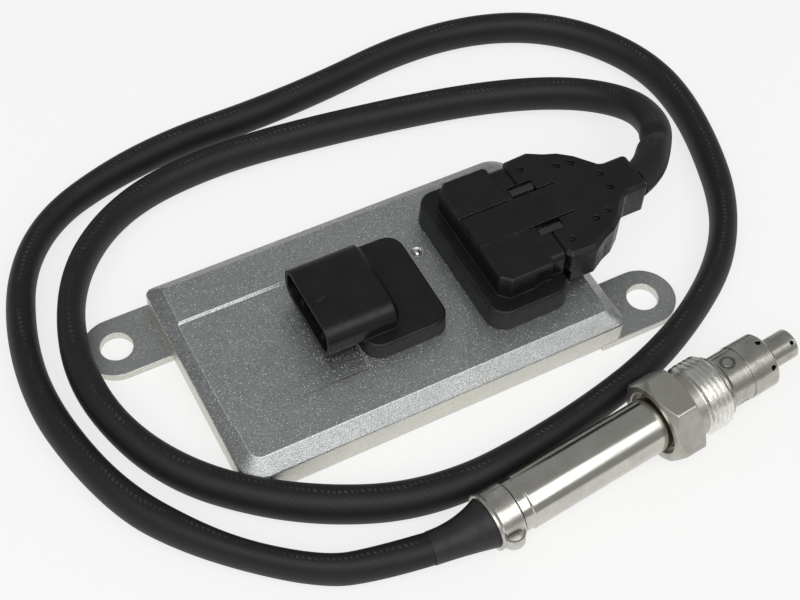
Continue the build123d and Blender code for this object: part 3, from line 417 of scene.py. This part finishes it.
def thread_height(angle, station):
    """Radius of the thread's surface, fading out at both ends."""
    turn = (station / thread_pitch - angle / (2 * pi)) % 1
    ridge = abs(2 * turn - 1)
    tooth = max(0.0, min(1.0, (ridge - thread_crest_share) / thread_flank_share))
    radius = thread_radius - thread_depth * (1 - tooth)
    limit = thread_radius - max(0.0, neck_end + thread_lead - station)
    limit = min(limit, thread_radius - max(0.0, station - thread_end + thread_lead))
    return min(radius, limit)


def screw_rings():
    """Rows of (station, radius at each step) that run once round the screw's section."""
    angles = [2 * pi * step / screw_ring for step in range(screw_ring)]

    def even(station, radius):
        return station, [radius] * screw_ring

    def chamfer(from_station, to_station, from_radius, to_radius):
        for number in range(hex_chamfer_steps + 1):
            share = number / hex_chamfer_steps
            station = from_station + (to_station - from_station) * share
            envelope = from_radius + (to_radius - from_radius) * share
            yield station, [hex_radius(angle, envelope) for angle in angles]

    top = hex_corner_radius + hex_corner_spare
    rows = [
        even(rear_bore_floor, bore_radius),
        even(rear_bore_floor, rear_bore_radius),
        even(hex_rear + rear_bore_chamfer, rear_bore_radius),
        even(hex_rear, rear_bore_radius + rear_bore_chamfer),
        even(hex_rear, hex_face_radius - hex_face_step),
        *chamfer(hex_rear, hex_rear_full, hex_face_radius, top),
        *chamfer(hex_front_full, hex_front, top, hex_face_radius),
        even(hex_front, hex_face_radius - hex_face_step),
        even(hex_front, neck_radius + neck_fillet),
        even(hex_front + neck_fillet, neck_radius),
        even(neck_end - neck_gap, neck_radius),
    ]
    for number in range(thread_steps + 1):
        station = neck_end + (thread_end - neck_end) * number / thread_steps
        rows.append((station, [thread_height(angle, station) for angle in angles]))
    rows.append(even(thread_end, bore_radius + front_bore_chamfer))
    rows.append(even(thread_end - front_bore_chamfer, bore_radius))
    return rows


def build_screw(rows):
    """Hexagon, neck and thread as one closed mesh."""
    points = []
    for station, radii in rows:
        for step, radius in enumerate(radii):
            points.append(on_probe(station, radius, 2 * pi * step / screw_ring))
    faces = []
    for row in range(len(rows)):
        after = (row + 1) % len(rows)
        for step in range(screw_ring):
            beside = (step + 1) % screw_ring
            faces.append((
                row * screw_ring + step,
                row * screw_ring + beside,
                after * screw_ring + beside,
                after * screw_ring + step,
            ))
    return build_mesh("screw_hexagon_and_thread", points, faces, screw_smooth_angle)


screw_rows = screw_rings()
screw = build_screw(screw_rows)
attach(screw, "screw")
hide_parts("hex_screw")


# Weld marks on the probe's body, and where sharp edges get a painted highlight
weld_surface_radius = 7.4 * MM
weld_ring_radius = 1.75 * MM
weld_line_outer = 0.6 * MM
weld_line_inner = 0.1 * MM
weld_marks = ((19.5 * MM, 82), (20.2 * MM, 198))
edge_highlight_start = 0.9985
edge_highlight_full = 0.965

# Weave of the sleeve: slant and pitch of its ribs, and the half width of the painted highlight
# stripe
weft_slant = 0.75
weft_pitch = 0.92 * MM
warp_slant = -1.9
warp_pitch = 2.1 * MM
dash_slant = 0.5
dash_pitch = 1.5 * MM
highlight_stripe_outer = 0.6 * MM
highlight_stripe_inner = 0.15 * MM
highlight_stripe_drift = 1.2 * MM


def add_node(tree, kind, inputs=None, **settings):
    """New node with its settings, and values or links on its inputs."""
    node = tree.nodes.new(kind)
    for key, value in settings.items():
        setattr(node, key, value)
    for key, value in (inputs or {}).items():
        if isinstance(value, bpy.types.NodeSocket):
            tree.links.new(value, node.inputs[key])
        else:
            node.inputs[key].default_value = value
    return node


def new_material(name, roughness, metallic=0.0, specular=0.5):
    """Material with a Principled surface, its tree and that surface's node."""
    material = bpy.data.materials.new(name)
    material.use_nodes = True
    tree = material.node_tree
    shader = tree.nodes["Principled BSDF"]
    shader.inputs["Roughness"].default_value = roughness
    shader.inputs["Metallic"].default_value = metallic
    shader.inputs["Specular IOR Level"].default_value = specular
    return material, tree, shader


def object_place(tree):
    """Place on the object in metres."""
    return add_node(tree, "ShaderNodeTexCoord").outputs["Object"]


def probe_place(tree):
    """Place in the probe's own frame: along it, across it and up."""
    mapping = add_node(
        tree,
        "ShaderNodeMapping",
        {
            "Vector": object_place(tree),
            "Location": probe_point,
            "Rotation": probe_turn.to_euler(),
        },
        vector_type="TEXTURE",
    )
    return mapping.outputs["Vector"]


def scaled(tree, place, factors):
    """Place stretched by a factor along each axis."""
    return add_node(
        tree, "ShaderNodeMapping", {"Vector": place, "Scale": factors}, vector_type="POINT"
    ).outputs["Vector"]


def noise(tree, place, scale, detail=3.0, roughness=0.55):
    """Noise value between 0 and 1."""
    return add_node(
        tree,
        "ShaderNodeTexNoise",
        {"Vector": place, "Scale": scale, "Detail": detail, "Roughness": roughness},
    ).outputs["Fac"]


def ramp(tree, value, low, high, to_low=0.0, to_high=1.0):
    """Value moved from one range to another, held at its ends."""
    return add_node(
        tree,
        "ShaderNodeMapRange",
        {"Value": value, "From Min": low, "From Max": high, "To Min": to_low, "To Max": to_high},
    ).outputs["Result"]


def math_node(tree, operation, first, second=0.0):
    """Result of a plain sum on one or two values."""
    return add_node(
        tree, "ShaderNodeMath", {0: first, 1: second}, operation=operation
    ).outputs["Value"]


def blend(tree, share, first, second):
    """Colour between two colours."""
    node = add_node(tree, "ShaderNodeMix", data_type="RGBA")
    for key, value in ((0, share), (6, first), (7, second)):
        if isinstance(value, bpy.types.NodeSocket):
            tree.links.new(value, node.inputs[key])
        elif key:
            node.inputs[key].default_value = (*value, 1.0)
        else:
            node.inputs[key].default_value = value
    return node.outputs[2]


def rounded(tree, radius):
    """Normal that rounds sharp edges in the light."""
    return add_node(
        tree, "ShaderNodeBevel", {"Radius": radius}, samples=6
    ).outputs["Normal"]


def edge_highlight(tree, radius):
    """Mask for a painted highlight on sharp edges: 1 where the rounded normal leaves the face's
    own.
    """
    plain = add_node(tree, "ShaderNodeNewGeometry").outputs["Normal"]
    same = add_node(
        tree, "ShaderNodeVectorMath", {0: rounded(tree, radius), 1: plain}, operation="DOT_PRODUCT"
    ).outputs["Value"]
    return ramp(tree, same, edge_highlight_start, edge_highlight_full)


def bump(tree, height, distance, strength=1.0, normal=None):
    """Normal bent by a height."""
    inputs = {"Height": height, "Distance": distance, "Strength": strength}
    if normal is not None:
        inputs["Normal"] = normal
    return add_node(tree, "ShaderNodeBump", inputs).outputs["Normal"]


def specks(tree, place, scale, size, share):
    """Sparse round specks: 1 inside a speck and 0 outside."""
    cells = add_node(tree, "ShaderNodeTexVoronoi", {"Vector": place, "Scale": scale})
    near = ramp(tree, cells.outputs["Distance"], size, size * 0.4)
    chosen = add_node(tree, "ShaderNodeSeparateColor", {"Color": cells.outputs["Color"]})
    picked = ramp(tree, chosen.outputs["Red"], 1 - share, 1 - share * 0.5)
    return math_node(tree, "MULTIPLY", near, picked)


def cast_metal(name, dark, light, bright, roughness, edge, top=None):
    """Blasted cast aluminium: mottled, with fine dense grains, some of them bright, a painted
    highlight on sharp edges and, when top colours are given, painted shading that differs between
    tops and walls.
    """
    material, tree, shader = new_material(name, roughness, 1.0)
    place = object_place(tree)
    patches = ramp(tree, noise(tree, place, 90, 4.0), 0.3, 0.72)
    grain = noise(tree, place, 2400, 3.0, 0.7)
    cells = add_node(tree, "ShaderNodeTexVoronoi", {"Vector": place, "Scale": 3100.0})
    chosen = add_node(tree, "ShaderNodeSeparateColor", {"Color": cells.outputs["Color"]})
    tone = math_node(tree, "MULTIPLY", patches, 0.15)
    tone = math_node(
        tree, "ADD", tone, math_node(tree, "MULTIPLY", ramp(tree, grain, 0.3, 0.72), 0.45)
    )
    tone = math_node(tree, "ADD", tone, math_node(tree, "MULTIPLY", chosen.outputs["Green"], 0.4))
    colour = blend(tree, tone, dark, light)
    # Faces that point up take the top colours and walls keep the paler ones: painted light that
    # follows the way a face points
    if top is not None:
        facing = add_node(tree, "ShaderNodeTexCoord").outputs["Normal"]
        split = add_node(tree, "ShaderNodeSeparateXYZ", {"Vector": facing})
        upper = ramp(tree, split.outputs["Z"], 0.5, 0.95)
        colour = blend(tree, upper, colour, blend(tree, tone, *top))
    dots = specks(tree, place, 1950, 0.36, 0.42)
    colour = blend(tree, math_node(tree, "MULTIPLY", dots, 0.85), colour, bright)
    # Painted highlight on sharp edges, broken up by the grain
    wear_and_painted_light = math_node(tree, "MULTIPLY", edge_highlight(tree, edge), ramp(tree, grain, 0.3, 0.6))
    colour = blend(tree, wear_and_painted_light, colour, (1.0, 1.0, 0.98))
    tree.links.new(colour, shader.inputs["Base Color"])
    rough = ramp(
        tree, noise(tree, place, 420, 3.0), 0.3, 0.7, roughness - 0.03, roughness + 0.03
    )
    rough = math_node(tree, "ADD", rough, math_node(tree, "MULTIPLY", dots, 0.27))
    tree.links.new(rough, shader.inputs["Roughness"])
    pits = bump(tree, grain, 0.00016, 0.6, rounded(tree, edge))
    tree.links.new(bump(tree, dots, 0.00006, 0.7, pits), shader.inputs["Normal"])
    return material


def moulded_plastic(name, dark, light, roughness, edge):
    """Glass-filled black plastic: faint mottling, fine grain, and softly rounded edges with a
    painted highlight.
    """
    material, tree, shader = new_material(name, roughness, 0.0, 0.34)
    place = object_place(tree)
    cloud = ramp(tree, noise(tree, place, 160, 4.0), 0.35, 0.7)
    dust = specks(tree, place, 1100, 0.2, 0.07)
    colour = blend(tree, cloud, dark, light)
    colour = blend(tree, math_node(tree, "MULTIPLY", dust, 0.3), colour, (0.1, 0.1, 0.1))
    # Painted highlight on sharp edges, patchy with the mottling
    wear_and_painted_light = math_node(tree, "MULTIPLY", edge_highlight(tree, edge * 0.5), ramp(tree, cloud, 0.0, 0.8))
    colour = blend(tree, math_node(tree, "MULTIPLY", wear_and_painted_light, 0.7), colour, (0.045, 0.046, 0.047))
    tree.links.new(colour, shader.inputs["Base Color"])
    tree.links.new(
        ramp(tree, noise(tree, place, 700, 3.0), 0.3, 0.7, roughness - 0.06, roughness + 0.08),
        shader.inputs["Roughness"],
    )
    grain = noise(tree, place, 3200, 2.0, 0.6)
    tree.links.new(
        bump(tree, grain, 0.00005, 0.3, rounded(tree, edge)), shader.inputs["Normal"]
    )
    return material


def weld_ring(tree, place, station, angle):
    """Dark ring round a weld mark at a station and an angle: 1 on the ring."""
    centre = (
        station,
        weld_surface_radius * cos(radians(angle)),
        weld_surface_radius * sin(radians(angle)),
    )
    away = add_node(
        tree, "ShaderNodeVectorMath", {0: place, 1: centre}, operation="DISTANCE"
    ).outputs["Value"]
    off = math_node(tree, "ABSOLUTE", math_node(tree, "SUBTRACT", away, weld_ring_radius))
    return ramp(tree, off, weld_line_outer, weld_line_inner)


def steel(name, dark, light, roughness, rings, streaks, edge, welds=()):
    """Turned or drawn stainless steel: fine rings round the axis, streaks along it, tarnish."""
    material, tree, shader = new_material(name, roughness, 1.0)
    place = probe_place(tree)
    tarnish = noise(tree, place, 210, 5.0, 0.65)
    along = noise(tree, scaled(tree, place, (0.08, 1.0, 1.0)), 1500, 3.0)
    around = noise(tree, scaled(tree, place, (1.0, 0.03, 0.03)), 2600, 3.0)
    tone = ramp(tree, tarnish, 0.32, 0.68)
    colour = blend(tree, tone, dark, light)
    for station, angle in welds:
        ring = weld_ring(tree, place, station, angle)
        colour = blend(tree, math_node(tree, "MULTIPLY", ring, 0.8), colour, (0.1, 0.09, 0.07))
    tree.links.new(colour, shader.inputs["Base Color"])
    rough = math_node(
        tree, "ADD", ramp(tree, tarnish, 0.3, 0.7, roughness + 0.06, roughness - 0.02),
        ramp(tree, along, 0.3, 0.7, 0.0, 0.05),
    )
    tree.links.new(rough, shader.inputs["Roughness"])
    base = rounded(tree, edge)
    lines = bump(tree, around, 0.00003, rings, base)
    lines = bump(tree, along, 0.00004, streaks, lines)
    tree.links.new(bump(tree, tarnish, 0.0003, 0.02, lines), shader.inputs["Normal"])
    return material


def plain_rubber(name, dark, light, roughness, speck):
    """Moulded rubber: smooth, faintly mottled with fine pale specks."""
    material, tree, shader = new_material(name, roughness, 0.0, 0.35)
    place = object_place(tree)
    cloud = ramp(tree, noise(tree, place, 240, 4.0), 0.3, 0.7)
    dust = specks(tree, place, 1300, 0.3, 0.12)
    colour = blend(tree, cloud, dark, light)
    colour = blend(tree, math_node(tree, "MULTIPLY", dust, 0.5), colour, speck)
    tree.links.new(colour, shader.inputs["Base Color"])
    tree.links.new(
        ramp(tree, noise(tree, place, 500, 3.0), 0.3, 0.7, roughness - 0.06, roughness + 0.08),
        shader.inputs["Roughness"],
    )
    soft = noise(tree, place, 900, 3.0)
    tree.links.new(
        bump(tree, soft, 0.0001, 0.25, rounded(tree, 0.0003)), shader.inputs["Normal"]
    )
    return material


def woven_sleeve(name):
    """Woven sleeve: fine slanted ribs, dusty crests with painted light along one flank, and a faint
    dashed painted highlight stripe on one shoulder.
    """
    material, tree, shader = new_material(name, 0.5, 0.0, 0.36)
    place = add_node(tree, "ShaderNodeUVMap", uv_map="sleeve").outputs["UV"]
    split = add_node(tree, "ShaderNodeSeparateXYZ", {"Vector": place})
    along = split.outputs["X"]
    girth = split.outputs["Y"]
    wobble = ramp(tree, noise(tree, object_place(tree), 300, 2.0), 0.0, 1.0, -0.5, 0.5)

    def ribs(slant, pitch):
        slide = math_node(tree, "ADD", along, math_node(tree, "MULTIPLY", girth, slant))
        turns = math_node(tree, "ADD", math_node(tree, "MULTIPLY", slide, 1 / pitch), wobble)
        wave = math_node(tree, "SINE", math_node(tree, "MULTIPLY", turns, 2 * pi))
        return ramp(tree, wave, -1.0, 1.0)

    weft = ribs(weft_slant, weft_pitch)
    warp = ribs(warp_slant, warp_pitch)
    weave = math_node(tree, "MULTIPLY", weft, ramp(tree, warp, 0.0, 1.0, 0.4, 1.0))
    # Lighter crests: random dust, plus painted light in a band along one flank
    wear_and_painted_light = ramp(tree, noise(tree, object_place(tree), 60, 4.0), 0.35, 0.7)
    from_lit_flank = math_node(tree, "ABSOLUTE", math_node(tree, "SUBTRACT", girth, lit_flank_place))
    wear_and_painted_light = math_node(tree, "MULTIPLY", wear_and_painted_light, ramp(tree, from_lit_flank, 0.0055, 0.002, 0.35, 1.0))
    crest = math_node(tree, "MULTIPLY", weave, ramp(tree, wear_and_painted_light, 0.0, 1.0, 0.15, 1.0))
    colour = blend(tree, crest, (0.0062, 0.0066, 0.0065), (0.0145, 0.0152, 0.0148))
    # Painted highlight stripe in faint dashes along one shoulder
    wander = noise(tree, object_place(tree), 45, 2.0)
    drift = ramp(tree, wander, 0.2, 0.8, -highlight_stripe_drift, highlight_stripe_drift)
    aside = math_node(tree, "SUBTRACT", math_node(tree, "ADD", girth, drift), highlight_stripe_place)
    line = ramp(tree, math_node(tree, "ABSOLUTE", aside), highlight_stripe_outer, highlight_stripe_inner)
    dash = ramp(tree, ribs(dash_slant, dash_pitch), 0.45, 0.8)
    faded = ramp(tree, noise(tree, object_place(tree), 130, 3.0), 0.4, 0.62)
    painted_stripe = math_node(tree, "MULTIPLY", math_node(tree, "MULTIPLY", line, dash), faded)
    colour = blend(tree, math_node(tree, "MULTIPLY", painted_stripe, 0.6), colour, (0.07, 0.073, 0.073))
    tree.links.new(colour, shader.inputs["Base Color"])
    tree.links.new(ramp(tree, weave, 0.0, 1.0, 0.6, 0.45), shader.inputs["Roughness"])
    shader.inputs["Sheen Weight"].default_value = 0.015
    shader.inputs["Sheen Roughness"].default_value = 0.4
    fibre = noise(tree, object_place(tree), 2600, 2.0)
    fine = bump(tree, fibre, 0.00006, 0.35)
    tree.links.new(bump(tree, crest, 0.00016, 0.25, fine), shader.inputs["Normal"])
    return material


def fired_ceramic(name, dark, light, roughness):
    """Matt fired ceramic or pressed powder with a faint grain."""
    material, tree, shader = new_material(name, roughness)
    place = object_place(tree)
    colour = blend(tree, ramp(tree, noise(tree, place, 400, 4.0), 0.3, 0.7), dark, light)
    tree.links.new(colour, shader.inputs["Base Color"])
    tree.links.new(
        bump(tree, noise(tree, place, 1800, 3.0), 0.00006, 0.3), shader.inputs["Normal"]
    )
    return material


def board_laminate(name):
    """Green solder mask over a glass weave, with faint tracks."""
    material, tree, shader = new_material(name, 0.35)
    place = object_place(tree)
    tracks = add_node(tree, "ShaderNodeTexBrick", {
        "Vector": place, "Scale": 180.0, "Mortar Size": 0.03,
        "Color1": (0.01, 0.09, 0.03, 1.0), "Color2": (0.012, 0.11, 0.035, 1.0),
        "Mortar": (0.03, 0.19, 0.07, 1.0),
    })
    tree.links.new(tracks.outputs["Color"], shader.inputs["Base Color"])
    tree.links.new(
        bump(tree, noise(tree, place, 1500, 2.0), 0.00005, 0.2), shader.inputs["Normal"]
    )
    return material


cast_dark = cast_metal(
    "cast_cover", (0.27, 0.284, 0.278), (0.64, 0.66, 0.64), (1.0, 1.0, 0.98), 0.41, 0.0004
)
# Base: its pale beige walls are a painted reflection of the floor, and its upward faces take the
# darker top colours
cast_base_painted_reflection = cast_metal(
    "cast_base", (0.57, 0.56, 0.505), (0.8, 0.79, 0.725), (0.84, 0.83, 0.78), 0.42, 0.0003,
    ((0.33, 0.345, 0.335), (0.56, 0.58, 0.56)),
)
black_plastic = moulded_plastic(
    "black_moulding", (0.0042, 0.0046, 0.005), (0.0078, 0.0083, 0.0088), 0.37, 0.0005
)
bar_plastic = moulded_plastic(
    "latch_bar_moulding", (0.022, 0.0225, 0.0235), (0.032, 0.0325, 0.034), 0.42, 0.0002
)
grey_plastic = moulded_plastic(
    "grey_moulding", (0.022, 0.022, 0.023), (0.034, 0.034, 0.035), 0.45, 0.0003
)
barrel_steel = steel(
    "polished_tube", (0.50, 0.485, 0.435), (0.60, 0.585, 0.535), 0.13, 0.12, 0.08, 0.0003
)
turned_steel = steel(
    "turned_shell", (0.37, 0.36, 0.32), (0.56, 0.545, 0.50), 0.22, 0.5, 0.1, 0.0003
)
welded_steel = steel(
    "turned_shell_welded", (0.36, 0.35, 0.31), (0.54, 0.525, 0.48), 0.22, 0.5, 0.1, 0.0003,
    weld_marks,
)
hex_steel = steel(
    "hexagon_satin", (0.43, 0.415, 0.37), (0.53, 0.515, 0.465), 0.34, 0.5, 0.3, 0.0003
)
thread_steel = steel(
    "thread_worn", (0.7, 0.69, 0.65), (0.96, 0.95, 0.91), 0.24, 0.5, 0.2, 0.00012
)
band_steel = steel(
    "clamp_band", (0.44, 0.42, 0.38), (0.68, 0.66, 0.62), 0.24, 0.1, 0.5, 0.0003
)
ball_steel = steel(
    "ball_bright", (0.62, 0.61, 0.58), (0.8, 0.79, 0.77), 0.16, 0.1, 0.1, 0.0001
)
tinned = steel("tinned_pin", (0.5, 0.48, 0.42), (0.72, 0.70, 0.64), 0.3, 0.1, 0.1, 0.0001)
zinc = steel("zinc_screw", (0.5, 0.5, 0.46), (0.7, 0.7, 0.66), 0.33, 0.2, 0.1, 0.0002)
can = steel("can_bright", (0.6, 0.6, 0.6), (0.75, 0.75, 0.75), 0.3, 0.2, 0.1, 0.0002)
boot_rubber = plain_rubber(
    "boot_rubber", (0.013, 0.0135, 0.0135), (0.021, 0.022, 0.022), 0.5, (0.07, 0.075, 0.075)
)
seal_rubber = plain_rubber(
    "seal_rubber", (0.012, 0.012, 0.012), (0.02, 0.02, 0.02), 0.6, (0.05, 0.05, 0.05)
)
wire_cover = plain_rubber(
    "wire_insulation", (0.16, 0.16, 0.15), (0.24, 0.24, 0.23), 0.4, (0.4, 0.4, 0.4)
)
sleeve_weave = woven_sleeve("woven_sleeve")
ceramic = fired_ceramic("white_ceramic", (0.66, 0.65, 0.61), (0.8, 0.79, 0.75), 0.55)
talc = fired_ceramic("pressed_talc", (0.58, 0.56, 0.52), (0.72, 0.70, 0.66), 0.85)
ferrite = fired_ceramic("ferrite", (0.03, 0.03, 0.03), (0.06, 0.06, 0.06), 0.5)
laminate = board_laminate("board_laminate")

finishes = {
    "housing_cover": cast_dark,
    "housing_base": cast_base_painted_reflection,
    "sealing_ball": ball_steel,
    "vehicle_header": black_plastic,
    "sensor_header": black_plastic,
    "plug_cover": black_plastic,
    "plug_shell": black_plastic,
    "contact_carrier": grey_plastic,
    "processor": grey_plastic,
    "driver_chips": grey_plastic,
    "heater_switches": grey_plastic,
    "inductor": ferrite,
    "capacitors": can,
    "circuit_board": laminate,
    "board_screws": zinc,
    "vehicle_header_pins": tinned,
    "sensor_header_pins": tinned,
    "plug_contacts": tinned,
    "cover_seal": seal_rubber,
    "vehicle_header_seal": seal_rubber,
    "sensor_header_seal": seal_rubber,
    "plug_seal": seal_rubber,
    "cable_grommet": seal_rubber,
    "rear_grommet": seal_rubber,
    "plug_wires": wire_cover,
    "probe_wires": wire_cover,
    "sensor_cable": sleeve_weave,
    "cable_boot": boot_rubber,
    "boot_clamp": band_steel,
    "barrel": barrel_steel,
    "outer_shield": turned_steel,
    "inner_shield": turned_steel,
    "probe_body": welded_steel,
    "retaining_ring": turned_steel,
    "hex_screw": hex_steel,
    "contact_holder": ceramic,
    "ceramic_insulators": ceramic,
    "ceramic_element": ceramic,
    "talc_packing": talc,
}
for name, material in finishes.items():
    mesh = nodes[name].data
    mesh.materials.clear()
    mesh.materials.append(material)
sleeve.data.materials.append(sleeve_weave)
boot.data.materials.append(boot_rubber)
bars.data.materials.append(bar_plastic)
screw.data.materials.append(hex_steel)
screw.data.materials.append(thread_steel)
thread_rows = {
    number for number, (station, _) in enumerate(screw_rows) if station > neck_end - neck_gap / 2
}
for face in screw.data.polygons:
    if face.index // screw_ring in thread_rows:
        face.material_index = 1

# Floor: pale, white to the camera and in reflections, with the object's shadow kept
floor_reach = 3
floor_white_share = 0.75
floor_material, floor_tree, floor_shader = new_material("floor", 0.9)
floor_shader.inputs["Base Color"].default_value = (0.86, 0.855, 0.84, 1.0)
floor_path = add_node(floor_tree, "ShaderNodeLightPath")
floor_seen = math_node(
    floor_tree, "ADD", floor_path.outputs["Is Camera Ray"], floor_path.outputs["Is Glossy Ray"]
)
floor_seen = math_node(
    floor_tree, "ADD", floor_seen, floor_path.outputs["Is Transmission Ray"]
)
floor_white = add_node(floor_tree, "ShaderNodeEmission")
floor_white.inputs["Color"].default_value = (1.0, 1.0, 0.995, 1.0)
floor_mix = add_node(floor_tree, "ShaderNodeMixShader", {
    0: ramp(floor_tree, floor_seen, 0.0, 1.0, 0.0, floor_white_share),
    1: floor_shader.outputs["BSDF"],
    2: floor_white.outputs["Emission"],
})
floor_tree.links.new(
    floor_mix.outputs["Shader"], floor_tree.nodes["Material Output"].inputs["Surface"]
)
floor_corners = [
    (side_x * floor_reach, side_y * floor_reach, 0)
    for side_x, side_y in ((-1, -1), (1, -1), (1, 1), (-1, 1))
]
floor_object = build_mesh("floor", floor_corners, [(0, 1, 2, 3)])
floor_object.data.materials.append(floor_material)

# World: an even, fairly dim studio, pale to the camera only
world = bpy.data.worlds.new("studio")
bpy.context.scene.world = world
world.use_nodes = True
world_tree = world.node_tree
world_shader = world_tree.nodes["Background"]
path_kind = add_node(world_tree, "ShaderNodeLightPath")
world_colour = blend(
    world_tree, path_kind.outputs["Is Camera Ray"], (0.34, 0.345, 0.35), (0.93, 0.93, 0.93)
)
world_tree.links.new(world_colour, world_shader.inputs["Color"])


def soft_light(name, direction, distance, width, height, power):
    """Rectangular studio light that faces the object from a direction."""
    data = bpy.data.lights.new(name, "AREA")
    data.shape = "RECTANGLE"
    data.size = width
    data.size_y = height
    data.energy = power
    light = link(bpy.data.objects.new(name, data))
    away = Vector(direction).normalized()
    light.location = away * distance
    light.rotation_mode = "QUATERNION"
    light.rotation_quaternion = away.to_track_quat("Z", "Y")


soft_light(
    "main_light", direction=(-0.18, -0.5, 0.85), distance=1.1, width=1.7, height=0.85, power=10.5
)

bpy.context.scene.view_settings.view_transform = "Standard"
